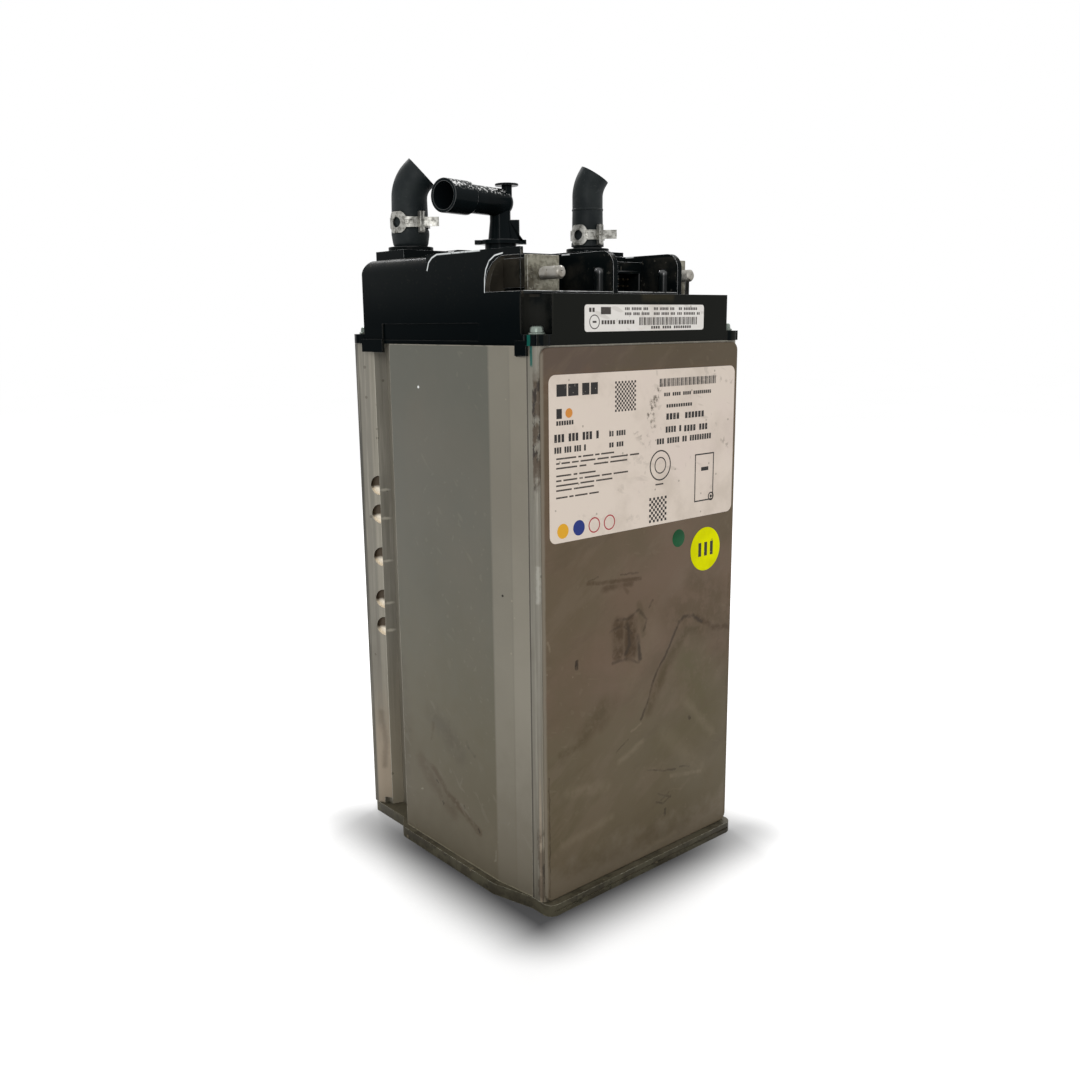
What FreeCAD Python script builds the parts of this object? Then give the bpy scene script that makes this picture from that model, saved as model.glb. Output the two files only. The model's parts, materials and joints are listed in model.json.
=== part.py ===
import FreeCAD, Part
import Sketcher
import os
import re

# A liquid-cooled mild hybrid battery: an aluminium housing with fourteen cells, a black moulded
# cover with two stud terminals, a connector, a vent elbow and two cut coolant hoses.
# Millimetres, +Z up, front face towards -Y, origin under the middle of the base plate.
SIZES = {
    # Case
    "case_width": 184.5,
    "case_depth": 205,
    "case_height": 360,
    "case_wall": 3,
    "corner_radius": 3.5,
    "corner_post": 13,
    # Bracket rails at the two rear corners
    "channel_depth": 14.5,
    "channel_width": 28,
    "rail_flat": 4.5,
    "rail_chamfer": 6.2,
    "rail_run": 11.2,
    "rail_slope": 3,
    "rail_foot": 5,
    "notch_radius": 7.3,
    "notch_depth": 3.2,
    "notch_first": 104.2,
    "notch_pitch_short": 21.6,
    "notch_pitch_long": 32.9,
    "notch_lead": 0.25,
    # Base plate
    "base_height": 8,
    "base_floor": 5,
    "base_rib": 4,
    "base_pocket_inset": 20,
    "base_overhang": 4.25,
    "base_front_overhang": 5.3,
    "base_corner_cut": 4,
    # Outer plates
    "side_plate_thickness": 4.5,
    "side_plate_start": 9.5,
    "side_plate_slope": 15,
    "side_plate_shoulder": 17,
    "side_plate_break": 2,
    "side_plate_tail": 6,
    "front_plate_thickness": 2.25,
    "front_plate_inset": 1.85,
    "front_plate_corner": 6,
    "front_plate_edge": 1.2,
    "front_plate_drop": 1,
    # Fasteners
    "screw_inset": 6.25,
    "screw_depth_inset": 7,
    "screw_radius": 2.5,
    "screw_head_radius": 5.35,
    "screw_head_height": 5,
    "screw_flange_height": 1.5,
    "screw_crown_radius": 4.2,
    "screw_drive_radius": 2.3,
    "screw_drive_depth": 2.8,
    "base_head_height": 3.5,
    "screw_bite": 15,
    "screw_clearance": 0.25,
    # Cover
    "cover_wall": 3,
    "cover_frame": 3.5,
    "skirt_height": 30.5,
    "body_height": 27,
    "body_front": 60.5,
    "body_sharp": 50,
    "roof_radius": 10,
    "ear_height": 6.5,
    "ear_radius": 8.4,
    "scallop_radius": 9.2,
    "recess_length": 111,
    "recess_centre": 9,
    "recess_height": 11,
    "recess_rise": 2.5,
    "recess_depth": 1.2,
    "tab_thickness": 2,
    "tab_clearance": 0.3,
    "tab_drop": 6,
    "tab_rise": 3,
    "near_tab_width": 10.5,
    "near_tab_place": 13,
    "far_tab_width": 27,
    "far_tab_place": 178.5,
    "fin_reach": 49,
    "fin_thickness": 4,
    "fin_radius": 10,
    "left_fin_radius": 3,
    "window_length": 34,
    "window_height": 21,
    "window_rise": 1.5,
    "window_radius": 20,
    "window_post": 3,
    "middle_fin_gap": 28,
    "guard_reach": 15,
    "guard_drop": 11,
    "platform_width": 38,
    "platform_height": 6.5,
    "lump_length": 26,
    "lump_width": 12,
    "lump_height": 8,
    "lump_radius": 6.4,
    "lump_place": -24,
    "lump_rear_inset": 40.5,
    # Cover seal
    "seal_thickness": 1.2,
    "seal_inset": 0.6,
    "seal_width": 1.8,
    # Stud terminals
    "terminal_inset": 33.25,
    "terminal_width": 26,
    "terminal_height": 24,
    "terminal_thickness": 3,
    "terminal_set_back": 31.5,
    "stud_radius": 4,
    "stud_length": 17,
    "stud_neck_radius": 3.5,
    "stud_head_radius": 6.5,
    "stud_bevel": 0.8,
    "stud_head_height": 4,
    "stud_rise": 13,
    "support_width": 18,
    "support_height": 18,
    "support_rise": 4.5,
    # Connector
    "connector_fin_gap": 4,
    "connector_width": 36,
    "connector_height": 15,
    "connector_depth": 20,
    "connector_reach": 3,
    "connector_rise": 1.5,
    "connector_wall": 2,
    "socket_depth": 14,
    "connector_block": 16,
    "connector_block_height": 22.5,
    "pin_radius": 0.7,
    "pin_length": 8,
    "pin_pitch": 4.5,
    # Coolant connections
    "spigot_radius": 10,
    "spigot_bore": 7,
    "spigot_height": 34,
    "spigot_flange_radius": 16,
    "spigot_flange": 3,
    "pipe_wall": 1.5,
    "pipe_overlap": 8,
    "pipe_bend": 9.5,
    "pipe_level": 32,
    "spigot_tail": 13,
    "inlet_inset": 32.25,
    "inlet_rear_inset": 29.5,
    "outlet_inset": 30.25,
    "outlet_rear_inset": 84.5,
    "inlet_hose_radius": 13,
    "inlet_hose_rise": 33,
    "inlet_hose_bend": 22,
    "inlet_hose_turn": 47,
    "outlet_hose_radius": 11.7,
    "outlet_hose_rise": 37,
    "outlet_hose_bend": 25.5,
    "outlet_hose_turn": 31,
    "hose_tail": 3.5,
    "hose_heading": -40.5,
    "clamp_thickness": 1.2,
    "clamp_band": 7,
    "clamp_lobe": 14.5,
    "clamp_lobe_angle": 62,
    "clamp_lobe_heading": 127,
    "clamp_hook_heading": 53,
    "clamp_hole": 3.6,
    "inlet_clamp_rise": 16.6,
    "outlet_clamp_rise": 9.6,
    "clamp_hook": 4,
    "clamp_hook_width": 3,
    "clamp_tail": 12,
    "clamp_tail_width": 6.3,
    # Vent elbow
    "vent_rear_inset": 57.5,
    "vent_base_radius": 11.5,
    "vent_base_height": 12,
    "vent_flange_radius": 14.5,
    "vent_flange": 3.2,
    "vent_leg_radius": 7.6,
    "vent_foot_radius": 9.1,
    "vent_axis_rise": 41.5,
    "vent_pipe_radius": 9.8,
    "vent_pipe_length": 62,
    "vent_mouth_radius": 11.5,
    "vent_mouth_length": 24,
    "vent_mouth_bore": 9.3,
    "vent_bore": 5.5,
    "vent_heading": 193,
    "vent_latch": 14,
    "vent_latch_width": 7.6,
    "vent_lug": 4.4,
    "vent_cap": 1.6,
    "vent_cap_radius": 8.5,
    "vent_cap_shift": 3.6,
    "vent_post_radius": 3.8,
    "vent_ring": 1.5,
    # Labels and stickers
    "label_thickness": 0.25,
    "rating_label_width": 172.5,
    "rating_label_height": 102.8,
    "rating_label_drop": 17.2,
    "rating_label_corner": 5,
    "rating_label_shift": 0.9,
    "small_label_width": 109.5,
    "small_label_height": 16.3,
    "small_label_rise": 7.6,
    "small_label_corner": 2,
    "sticker_radius": 15.5,
    "sticker_place": 60,
    "sticker_gap": 8.5,
    # Cell stack
    "cell_clearance": 0.75,
    "stack_front_room": 44.5,
    "stack_top_room": 15,
    "cell_corner": 2.5,
    "spacer_thickness": 1,
    "stack_count": 14,
    "pole_place": 50,
    "pole_width": 18,
    "pole_length": 4,
    "pole_height": 12,
    "link_thickness": 3,
    "end_plate": 12,
    "end_plate_side_gap": 3.25,
    "rod_radius": 3,
    "rod_head": 5.5,
    "rod_inset_side": 5.5,
    "rod_inset_front": 16,
    "rod_inset_rear": 11.4,
    "nut_height": 5,
    "rod_recess": 1,
    "end_plate_gap": 1.4,
    "pad_thickness": 1.5,
    "cold_plate_thickness": 16,
    "cold_plate_side_gap": 4.75,
    "cold_plate_drop": 23,
    "cold_plate_rise": 6,
    # High-current parts and control board
    "fuse_place": 50,
    "fuse_width": 24,
    "fuse_length": 32,
    "fuse_height": 16,
    "contactor_width": 40,
    "contactor_length": 46,
    "contactor_gap": 16,
    "bar_landing": 9,
    "bar_reach": 47,
    "bar_width": 14,
    "bar_thickness": 3,
    "shunt_width": 26,
    "negative_bar_reach": 17.75,
    "shunt_height": 6,
    "riser_place": 68,
    "riser_width": 10,
    "cross_bar_height": 12,
    "board_width": 66,
    "board_length": 104,
    "board_thickness": 1.6,
    "board_place_x": 4,
    "board_place_y": 18,
    "standoff_height": 9,
    "standoff_radius": 3,
    "board_inset": 5,
    "processor_width": 16.5,
    "processor_height": 3.2,
    "header_width": 33,
    "header_depth": 8.7,
    "header_height": 13,
    "header_place": 41.6,
    "capacitor_radius": 4.7,
    "capacitor_height": 11.5,
    "capacitor_pitch": 13.2,
    "capacitor_place": 31.2,
}

document = FreeCAD.newDocument("MildHybridBattery")
sheet = document.addObject("Spreadsheet::Sheet", "Sizes")
for row, (alias, size) in enumerate(SIZES.items(), 1):
    sheet.set(f"A{row}", alias)
    sheet.set(f"B{row}", str(size))
    sheet.setAlias(f"B{row}", alias)
document.recompute()

TURNS = {
    "X": FreeCAD.Rotation(FreeCAD.Vector(0, 1, 0), 90),
    "Y": FreeCAD.Rotation(FreeCAD.Vector(1, 0, 0), -90),
    "Z": FreeCAD.Rotation(),
}
SIDES = {"left": "-1", "right": "1"}
pieces = []


def linked(formula):
    """Point each size name in a formula at its cell."""
    return re.sub(
        r"[a-z_]\w*",
        lambda word: ("Sizes." if word.group() in SIZES else "") + word.group(),
        formula,
    )


def amount(formula):
    """Work a formula out from the sheet."""
    return float(sheet.evalExpression(linked(formula)))


def bind(thing, prop, formula):
    thing.setExpression(prop, linked(formula))


def place(thing, at):
    for axis, formula in zip("xyz", at):
        bind(thing, "Placement.Base." + axis, formula)


def block(name, size, middle, bottom):
    """A box by its size, the middle of its plan and the height of its underside."""
    thing = document.addObject("Part::Box", name)
    for prop, formula in zip(("Length", "Width", "Height"), size):
        bind(thing, prop, formula)
    place(thing, (
        f"({middle[0]}) - ({size[0]}) / 2",
        f"({middle[1]}) - ({size[1]}) / 2",
        bottom,
    ))
    return thing


def round_bar(name, radius, length, start, axis="Z"):
    """A cylinder that runs from its start along an axis."""
    thing = document.addObject("Part::Cylinder", name)
    thing.Placement.Rotation = TURNS[axis]
    bind(thing, "Radius", radius)
    bind(thing, "Height", length)
    place(thing, start)
    return thing


def cone(name, lower, upper, length, start):
    thing = document.addObject("Part::Cone", name)
    bind(thing, "Radius1", lower)
    bind(thing, "Radius2", upper)
    bind(thing, "Height", length)
    place(thing, start)
    return thing


def joined(name, things):
    thing = document.addObject("Part::MultiFuse", name)
    thing.Shapes = things
    thing.Refine = True
    return thing


def grouped(name, things):
    """Several solids that lie apart, kept together as one piece."""
    thing = document.addObject("Part::Compound", name)
    thing.Links = things
    return thing


def trimmed(name, base, tools):
    thing = document.addObject("Part::Cut", name)
    thing.Base = base
    thing.Tool = tools[0] if len(tools) == 1 else joined(name + "_tools", tools)
    thing.Refine = True
    return thing


def rounded(name, base, radius, chosen):
    """Fillet the edges of a thing that a test picks."""
    document.recompute()
    size = amount(radius)
    thing = document.addObject("Part::Fillet", name)
    thing.Base = base
    thing.Edges = [(n, size, size) for n, edge in enumerate(base.Shape.Edges, 1) if chosen(edge)]
    return thing


def along(edge, axis):
    """Whether an edge runs along an axis: 0, 1 or 2 for X, Y or Z."""
    ends = [vertex.Point for vertex in edge.Vertexes]
    if len(ends) < 2:
        return False
    step = ends[1] - ends[0]
    return abs(abs(step[axis]) - step.Length) < 1e-6


def middle_of(edge):
    return edge.BoundBox.Center


def origin_plane(body, role):
    return next(feature for feature in body.Origin.OriginFeatures if feature.Role == role)


def new_sketch(body, name, role, offset="0"):
    sketch = body.newObject("Sketcher::SketchObject", name)
    sketch.AttachmentSupport = (origin_plane(body, role), "")
    sketch.MapMode = "FlatFace"
    bind(sketch, "AttachmentOffset.Base.z", offset)
    return sketch


def fix_point(sketch, line, end, point):
    """Hold an end of a line at a point given by two formulas."""
    for kind, formula in zip(("DistanceX", "DistanceY"), point):
        at = sketch.addConstraint(Sketcher.Constraint(kind, -1, 1, line, end, amount(formula)))
        sketch.setExpression(f"Constraints[{at}]", linked(formula))


def add_outline(sketch, points):
    """Draw a closed outline of straight lines through points."""
    spots = [FreeCAD.Vector(amount(x), amount(y), 0) for x, y in points]
    lines = [
        sketch.addGeometry(Part.LineSegment(spot, spots[(n + 1) % len(spots)]), False)
        for n, spot in enumerate(spots)
    ]
    for n, line in enumerate(lines):
        after = lines[(n + 1) % len(lines)]
        sketch.addConstraint(Sketcher.Constraint("Coincident", line, 2, after, 1))
        fix_point(sketch, line, 1, points[n])


def add_circle(sketch, middle, radius):
    spot = FreeCAD.Vector(amount(middle[0]), amount(middle[1]), 0)
    ring = sketch.addGeometry(Part.Circle(spot, FreeCAD.Vector(0, 0, 1), amount(radius)), False)
    fix_point(sketch, ring, 3, middle)
    at = sketch.addConstraint(Sketcher.Constraint("Radius", ring, amount(radius)))
    sketch.setExpression(f"Constraints[{at}]", linked(radius))


def prism(name, outlines, bottom, height, role="XY_Plane"):
    """A body padded from closed outlines, the inner ones open through it."""
    body = document.addObject("PartDesign::Body", name)
    sketch = new_sketch(body, name + "_outline", role, bottom)
    for outline in outlines:
        add_outline(sketch, outline)
    pad = body.newObject("PartDesign::Pad", name + "_pad")
    pad.Profile = sketch
    bind(pad, "Length", height)
    sketch.Visibility = False
    return body


def piece(label, thing):
    """Keep a finished thing under its label."""
    thing.Label = label
    pieces.append(thing)
    return thing


# Levels and faces that many pieces share
HALF_WIDTH = "(case_width / 2)"
HALF_DEPTH = "(case_depth / 2)"
CASE_TOP = "(base_height + case_height)"
LEDGE = f"({CASE_TOP} + skirt_height)"
ROOF = f"({LEDGE} + body_height)"
PLATFORM = f"({ROOF} + platform_height)"
BODY_FRONT = f"(body_front - {HALF_DEPTH})"
CHANNEL_END = f"({HALF_DEPTH} - rail_flat - rail_run - rail_slope)"
CHANNEL_START = f"({CHANNEL_END} - channel_width)"
NECK = f"({HALF_WIDTH} - channel_depth - case_wall)"
INNER_REAR = f"({HALF_DEPTH} - case_wall)"
COLD_PLATE_FRONT = f"({INNER_REAR} - cold_plate_thickness)"
CELL_REAR = f"({COLD_PLATE_FRONT} - pad_thickness)"
CELL_FRONT = f"(stack_front_room - {HALF_DEPTH})"
CELL_DEPTH = f"({CELL_REAR} - {CELL_FRONT})"
CELL_MIDDLE = f"({CELL_REAR} - {CELL_DEPTH} / 2)"
CELL_WIDTH = f"(2 * ({NECK} - cell_clearance))"
POLE_FRONT = f"({CELL_FRONT} - pole_length)"
STACK_FOOT = "(base_height + end_plate)"
STACK_HEIGHT = "(case_height - stack_top_room - 2 * end_plate)"
CELL_PITCH = f"(({STACK_HEIGHT} + spacer_thickness) / stack_count)"
CELL_THICKNESS = f"({CELL_PITCH} - spacer_thickness)"
SHELF = f"({STACK_FOOT} + {STACK_HEIGHT} + end_plate)"
COLD_PLATE_WIDTH = f"(2 * ({NECK} - cold_plate_side_gap))"
COLD_PLATE_HEIGHT = "(case_height - cold_plate_rise - cold_plate_drop)"
SCREW_X = f"({HALF_WIDTH} - screw_inset)"
SCREW_Y = f"({HALF_DEPTH} - screw_depth_inset)"
FRONT_FACE = f"(-{HALF_DEPTH} - front_plate_thickness)"
TERMINAL_FACE = f"(terminal_set_back - {HALF_DEPTH})"
TERMINAL_BACK = f"({TERMINAL_FACE} + terminal_thickness)"
BAR_LEVEL = f"({LEDGE} + terminal_thickness)"
TERMINAL_X = f"({HALF_WIDTH} - terminal_inset)"
RIGHT_FIN = f"({TERMINAL_X} - (terminal_width + fin_thickness) / 2)"
MIDDLE_FIN = f"((terminal_width + fin_thickness) / 2 + middle_fin_gap - {TERMINAL_X})"
CONNECTOR_X = f"({RIGHT_FIN} - fin_thickness / 2 - connector_fin_gap - connector_width / 2)"
VENT_Y = f"({HALF_DEPTH} - vent_rear_inset)"
PORTS = {
    "inlet": (f"(inlet_inset - {HALF_WIDTH})", f"({HALF_DEPTH} - inlet_rear_inset)"),
    "outlet": (f"({HALF_WIDTH} - outlet_inset)", f"({HALF_DEPTH} - outlet_rear_inset)"),
}
CORNERS = [("-1", "-1"), ("1", "-1"), ("-1", "1"), ("1", "1")]
SCREW_SPOTS = [(f"({x} * {SCREW_X})", f"({y} * {SCREW_Y})") for x, y in CORNERS]

# How far solids of one piece reach into each other, or a tool past a face
MERGE = "1"


def mirrored(points):
    """Close an outline with the mirror image of its right half."""
    return points + [(f"(-{x})", y) for x, y in reversed(points)]


def housing_outline():
    return mirrored([
        (HALF_WIDTH, f"-{HALF_DEPTH}"),
        (HALF_WIDTH, CHANNEL_START),
        (f"({HALF_WIDTH} - channel_depth)", CHANNEL_START),
        (f"({HALF_WIDTH} - channel_depth)", CHANNEL_END),
        (f"({HALF_WIDTH} - rail_chamfer)", f"({CHANNEL_END} + rail_slope)"),
        (HALF_WIDTH, f"({HALF_DEPTH} - rail_flat)"),
        (HALF_WIDTH, HALF_DEPTH),
    ])


def hollow_outline(grow):
    """The inside of the housing, grown into its walls."""
    post_side = f"({HALF_WIDTH} - corner_post + {grow})"
    post_rear = f"(corner_post - {HALF_DEPTH} - {grow})"
    side = f"({HALF_WIDTH} - case_wall + {grow})"
    step = f"({CHANNEL_START} - case_wall + {grow})"
    return mirrored([
        (post_side, f"(case_wall - {HALF_DEPTH} - {grow})"),
        (post_side, post_rear),
        (side, post_rear),
        (side, step),
        (f"({NECK} + {grow})", step),
        (f"({NECK} + {grow})", f"({INNER_REAR} + {grow})"),
    ])


def make_base_plate():
    """Tray that follows the case, with ribs below and counterbored corner screws."""
    side = f"({HALF_WIDTH} + side_plate_thickness + base_overhang)"
    front = f"({FRONT_FACE} - base_front_overhang)"
    plate_start = f"(side_plate_start - {HALF_DEPTH})"
    outline = mirrored([
        (f"({HALF_WIDTH} - base_corner_cut)", front),
        (HALF_WIDTH, f"({front} + base_corner_cut)"),
        (HALF_WIDTH, plate_start),
        (side, f"({plate_start} + side_plate_slope + side_plate_shoulder)"),
        (side, f"({CHANNEL_START} - side_plate_tail)"),
        (HALF_WIDTH, f"({CHANNEL_START} + side_plate_tail)"),
        (HALF_WIDTH, HALF_DEPTH),
    ])
    plate = prism("base_blank", [outline], "0", "base_height")
    cell_x = "((case_width - 2 * base_pocket_inset - base_rib) / 2)"
    cell_y = "((case_depth - 2 * base_pocket_inset - 2 * base_rib) / 3)"
    pockets = [
        block(
            f"base_pocket_{x}_{y}",
            (cell_x, cell_y, "base_height - base_floor"),
            (f"({x}) * ({cell_x} + base_rib) / 2", f"({y}) * ({cell_y} + base_rib)"),
            "0",
        )
        for x in (-1, 1)
        for y in (-1, 0, 1)
    ]
    for n, (x, y) in enumerate(SCREW_SPOTS):
        pockets.append(round_bar(
            f"base_bore_{n}", "screw_radius + screw_clearance", "base_height", (x, y, "0")
        ))
        pockets.append(round_bar(
            f"base_counterbore_{n}", "screw_head_radius + screw_clearance", "screw_head_height",
            (x, y, "0"),
        ))
    piece("base_plate", trimmed("base_cut", plate, pockets))


def make_housing():
    """Extruded case with corner posts, rear bracket rails and their half-round notches."""
    outlines = [housing_outline(), hollow_outline("0")]
    blank = prism("housing_blank", outlines, "base_height", "case_height")
    front = -amount(HALF_DEPTH)
    soft = rounded(
        "housing_corners", blank, "corner_radius",
        lambda edge: along(edge, 2) and abs(middle_of(edge).y - front) < 1e-6,
    )
    tools = []
    for n, (x, y) in enumerate(SCREW_SPOTS):
        tools.append(round_bar(
            f"case_lower_bore_{n}", "screw_radius", "screw_bite", (x, y, "base_height")
        ))
        tools.append(round_bar(
            f"case_upper_bore_{n}", "screw_radius", "screw_bite", (x, y, f"{CASE_TOP} - screw_bite")
        ))
    for side, sign in SIDES.items():
        tools.append(block(
            f"rail_foot_{side}",
            ("2 * rail_chamfer", "2 * (rail_flat + rail_slope)", "rail_foot"),
            (f"{sign} * {HALF_WIDTH}", f"{CHANNEL_END} + rail_slope / 2"), "base_height",
        ))
        tools.extend(rail_notches(side, sign))
    piece("housing", trimmed("housing_cut", soft, tools))


def rail_notches(side, sign):
    """Five half-round notches square to the rail's chamfer, flat on its inner edge."""
    rises = ["notch_first"]
    for step in ("notch_pitch_short", "notch_pitch_long", "notch_pitch_long", "notch_pitch_short"):
        rises.append(f"{rises[-1]} + {step}")
    inward = FreeCAD.Vector(-int(sign) * amount("rail_run"), amount("rail_chamfer"), 0)
    upright = FreeCAD.Vector(0, 0, int(sign))
    notches = []
    for n, rise in enumerate(rises):
        notch = document.addObject("Part::Cylinder", f"notch_{side}_{n}")
        notch.Placement.Rotation = FreeCAD.Rotation(upright, inward.cross(upright), inward, "ZXY")
        bind(notch, "Radius", "notch_radius")
        bind(notch, "Height", "notch_depth * 2")
        notch.Angle = 180
        place(notch, (
            f"{sign} * ({HALF_WIDTH} - rail_chamfer + notch_lead * rail_run)",
            f"{CHANNEL_END} + rail_slope - notch_lead * rail_chamfer",
            f"{CASE_TOP} - ({rise})",
        ))
        notches.append(notch)
    return notches


def make_side_plates():
    """Raised side plates that slope back towards the front corners."""
    start = f"(side_plate_start - {HALF_DEPTH})"
    for side, sign in SIDES.items():
        face = f"{sign} * {HALF_WIDTH}"
        proud = f"{sign} * ({HALF_WIDTH} + side_plate_thickness)"
        plate = prism(f"side_blank_{side}", [[
            (face, start),
            (f"{sign} * ({HALF_WIDTH} + side_plate_break)", f"({start} + side_plate_slope)"),
            (proud, f"({start} + side_plate_slope + side_plate_shoulder)"),
            (proud, f"({CHANNEL_START} - side_plate_tail)"),
            (face, CHANNEL_START),
        ]], "base_height", "case_height")
        room = block(
            f"tab_room_{side}",
            ("2 * (tab_thickness + tab_clearance)", "near_tab_width + 2 * tab_clearance",
             "2 * (tab_drop + tab_clearance)"),
            (face, f"near_tab_place - {HALF_DEPTH}"),
            f"{CASE_TOP} - tab_drop - tab_clearance",
        )
        piece(f"side_plate_{side}", trimmed(f"side_cut_{side}", plate, [room]))


def make_front_plate():
    """Thin front sheet with rounded corners."""
    blank = block(
        "front_blank",
        (
            "case_width - 2 * front_plate_inset",
            "front_plate_thickness",
            "case_height - front_plate_drop",
        ),
        ("0", f"-{HALF_DEPTH} - front_plate_thickness / 2"), "base_height",
    )
    cornered = rounded("front_corners", blank, "front_plate_corner", lambda edge: along(edge, 1))
    face = amount(FRONT_FACE)
    piece("front_plate", rounded(
        "front_edges", cornered, "front_plate_edge", lambda edge: abs(edge.BoundBox.YMax - face) < 1e-6
    ))


def make_corner_screws():
    """Flanged screws: four hold the cover and four hold the base plate."""
    cover_screws = []
    base_screws = []
    for n, (x, y) in enumerate(SCREW_SPOTS):
        ear_top = f"({CASE_TOP} + ear_height)"
        cover_screw = joined(f"cover_screw_solid_{n}", [
            round_bar(f"cover_flange_{n}", "screw_head_radius", "screw_flange_height", (x, y, ear_top)),
            round_bar(f"cover_head_{n}", "screw_crown_radius", "screw_head_height", (x, y, ear_top)),
            round_bar(
                f"cover_shank_{n}", "screw_radius", "ear_height + screw_bite",
                (x, y, f"{CASE_TOP} - screw_bite"),
            ),
        ])
        drive = round_bar(
            f"cover_drive_{n}", "screw_drive_radius", "screw_head_height",
            (x, y, f"{ear_top} + screw_head_height - screw_drive_depth"),
        )
        cover_screws.append(trimmed(f"cover_screw_cut_{n}", cover_screw, [drive]))
        head_foot = "screw_head_height - base_head_height"
        base_screws.append(joined(f"base_screw_solid_{n}", [
            round_bar(f"base_head_{n}", "screw_head_radius", "base_head_height", (x, y, head_foot)),
            round_bar(
                f"base_shank_{n}", "screw_radius", "base_height - screw_head_height + screw_bite",
                (x, y, "screw_head_height"),
            ),
        ]))
    piece("cover_screws", grouped("cover_screw_set", cover_screws))
    piece("base_screws", grouped("base_screw_set", base_screws))


def make_seal():
    """Gasket that runs on the top edge of the housing."""
    ring = [hollow_outline("(seal_inset + seal_width)"), hollow_outline("seal_inset")]
    piece("cover_seal", prism("seal_ring", ring, CASE_TOP, "seal_thickness"))


def cover_solids():
    """The outside of the cover, before it is hollowed."""
    full = ("case_width", "case_depth")
    solids = [block("cover_skirt", (*full, "skirt_height"), ("0", "0"), CASE_TOP)]
    solids.append(block(
        "cover_body_front", ("case_width", "body_sharp", f"body_height + {MERGE}"),
        ("0", f"{BODY_FRONT} + body_sharp / 2"), f"{LEDGE} - {MERGE}",
    ))
    rear_length = f"({HALF_DEPTH} - {BODY_FRONT} - body_sharp)"
    rear = block(
        "cover_body_rear", ("case_width", rear_length, f"body_height + {MERGE}"),
        ("0", f"{HALF_DEPTH} - {rear_length} / 2"), f"{LEDGE} - {MERGE}",
    )
    solids.append(soft_roof("cover_body_soft", rear, "roof_radius"))
    for name, spot in PORTS.items():
        solids.append(block(
            f"platform_{name}", ("platform_width", "platform_width", f"platform_height + {MERGE}"),
            spot, f"{ROOF} - {MERGE}",
        ))
    lump = block(
        "roof_lump", ("lump_length", "lump_width", "lump_height"),
        ("lump_place", f"{HALF_DEPTH} - lump_rear_inset"), ROOF,
    )
    solids.append(rounded(
        "roof_lump_soft", lump, "lump_radius",
        lambda edge: along(edge, 1) and middle_of(edge).z > amount(ROOF) + 1e-6,
    ))
    for n, (x, y) in enumerate(SCREW_SPOTS):
        solids.append(round_bar(f"ear_{n}", "ear_radius", "ear_height", (x, y, CASE_TOP)))
    for side, sign in SIDES.items():
        face = f"{sign} * ({HALF_WIDTH} + tab_thickness / 2)"
        for name in ("near_tab", "far_tab"):
            solids.append(block(
                f"{name}_{side}", ("tab_thickness", f"{name}_width", "tab_drop + tab_rise"),
                (face, f"{name}_place - {HALF_DEPTH}"), f"{CASE_TOP} - tab_drop",
            ))
    return solids + fin_solids() + terminal_supports()


def soft_roof(name, thing, radius):
    """Round the two sides and the rear of a roof."""
    document.recompute()
    top = thing.Shape.BoundBox.ZMax
    rear = thing.Shape.BoundBox.YMax
    return rounded(name, thing, radius, lambda edge: middle_of(edge).z > top - 1e-6 and (
        along(edge, 1) or middle_of(edge).y > rear - 1e-6
    ))


def fin_solids():
    """Upright fins round the terminals, and the block that carries the connector."""
    fin_middle = f"{BODY_FRONT} - fin_reach / 2 + {MERGE} / 2"
    outer_place = f"({HALF_WIDTH} - fin_thickness / 2)"
    places = {"left": f"(-{outer_place})", "middle": MIDDLE_FIN, "right": RIGHT_FIN}
    fins = []
    for name, x in places.items():
        fin = block(
            f"fin_{name}", ("fin_thickness", f"fin_reach + {MERGE}", f"body_height + {MERGE}"),
            (x, fin_middle), f"{LEDGE} - {MERGE}",
        )
        fins.append(rounded(
            f"fin_{name}_soft", fin, "left_fin_radius" if name == "left" else "fin_radius",
            lambda edge: along(edge, 0) and middle_of(edge).z > amount(ROOF) - 1e-6
            and middle_of(edge).y < amount(BODY_FRONT),
        ))
    window = block(
        "fin_window", ("4 * fin_thickness", "window_length", "window_height"),
        (f"-{outer_place}", f"{BODY_FRONT} - fin_reach + window_post + window_length / 2"),
        f"{LEDGE} + window_rise",
    )
    arch = rounded(
        "fin_window_arch", window, "window_radius",
        lambda edge: along(edge, 0)
        and middle_of(edge).z > amount(f"{LEDGE} + window_rise + window_height / 2")
        and middle_of(edge).y > amount(f"{BODY_FRONT} - fin_reach / 2"),
    )
    fins[0] = trimmed("fin_left_open", fins[0], [arch])
    guard = prism("guard_blank", [[
        (f"({BODY_FRONT} + {MERGE})", f"({LEDGE} - {MERGE})"),
        (f"({BODY_FRONT} - guard_reach)", f"({LEDGE} - {MERGE})"),
        (f"({BODY_FRONT} - guard_reach)", f"({ROOF} - guard_drop)"),
        (BODY_FRONT, ROOF),
        (f"({BODY_FRONT} + {MERGE})", ROOF),
    ]], f"({HALF_WIDTH} - fin_thickness)", "fin_thickness", "YZ_Plane")
    width = f"({RIGHT_FIN} - {MIDDLE_FIN})"
    holder = block(
        "connector_holder",
        (width, f"connector_block + {MERGE}", f"connector_block_height + {MERGE}"),
        (f"({RIGHT_FIN} + {MIDDLE_FIN}) / 2", f"{BODY_FRONT} - (connector_block - {MERGE}) / 2"),
        f"{LEDGE} - {MERGE}",
    )
    return fins + [guard, holder]


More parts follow.
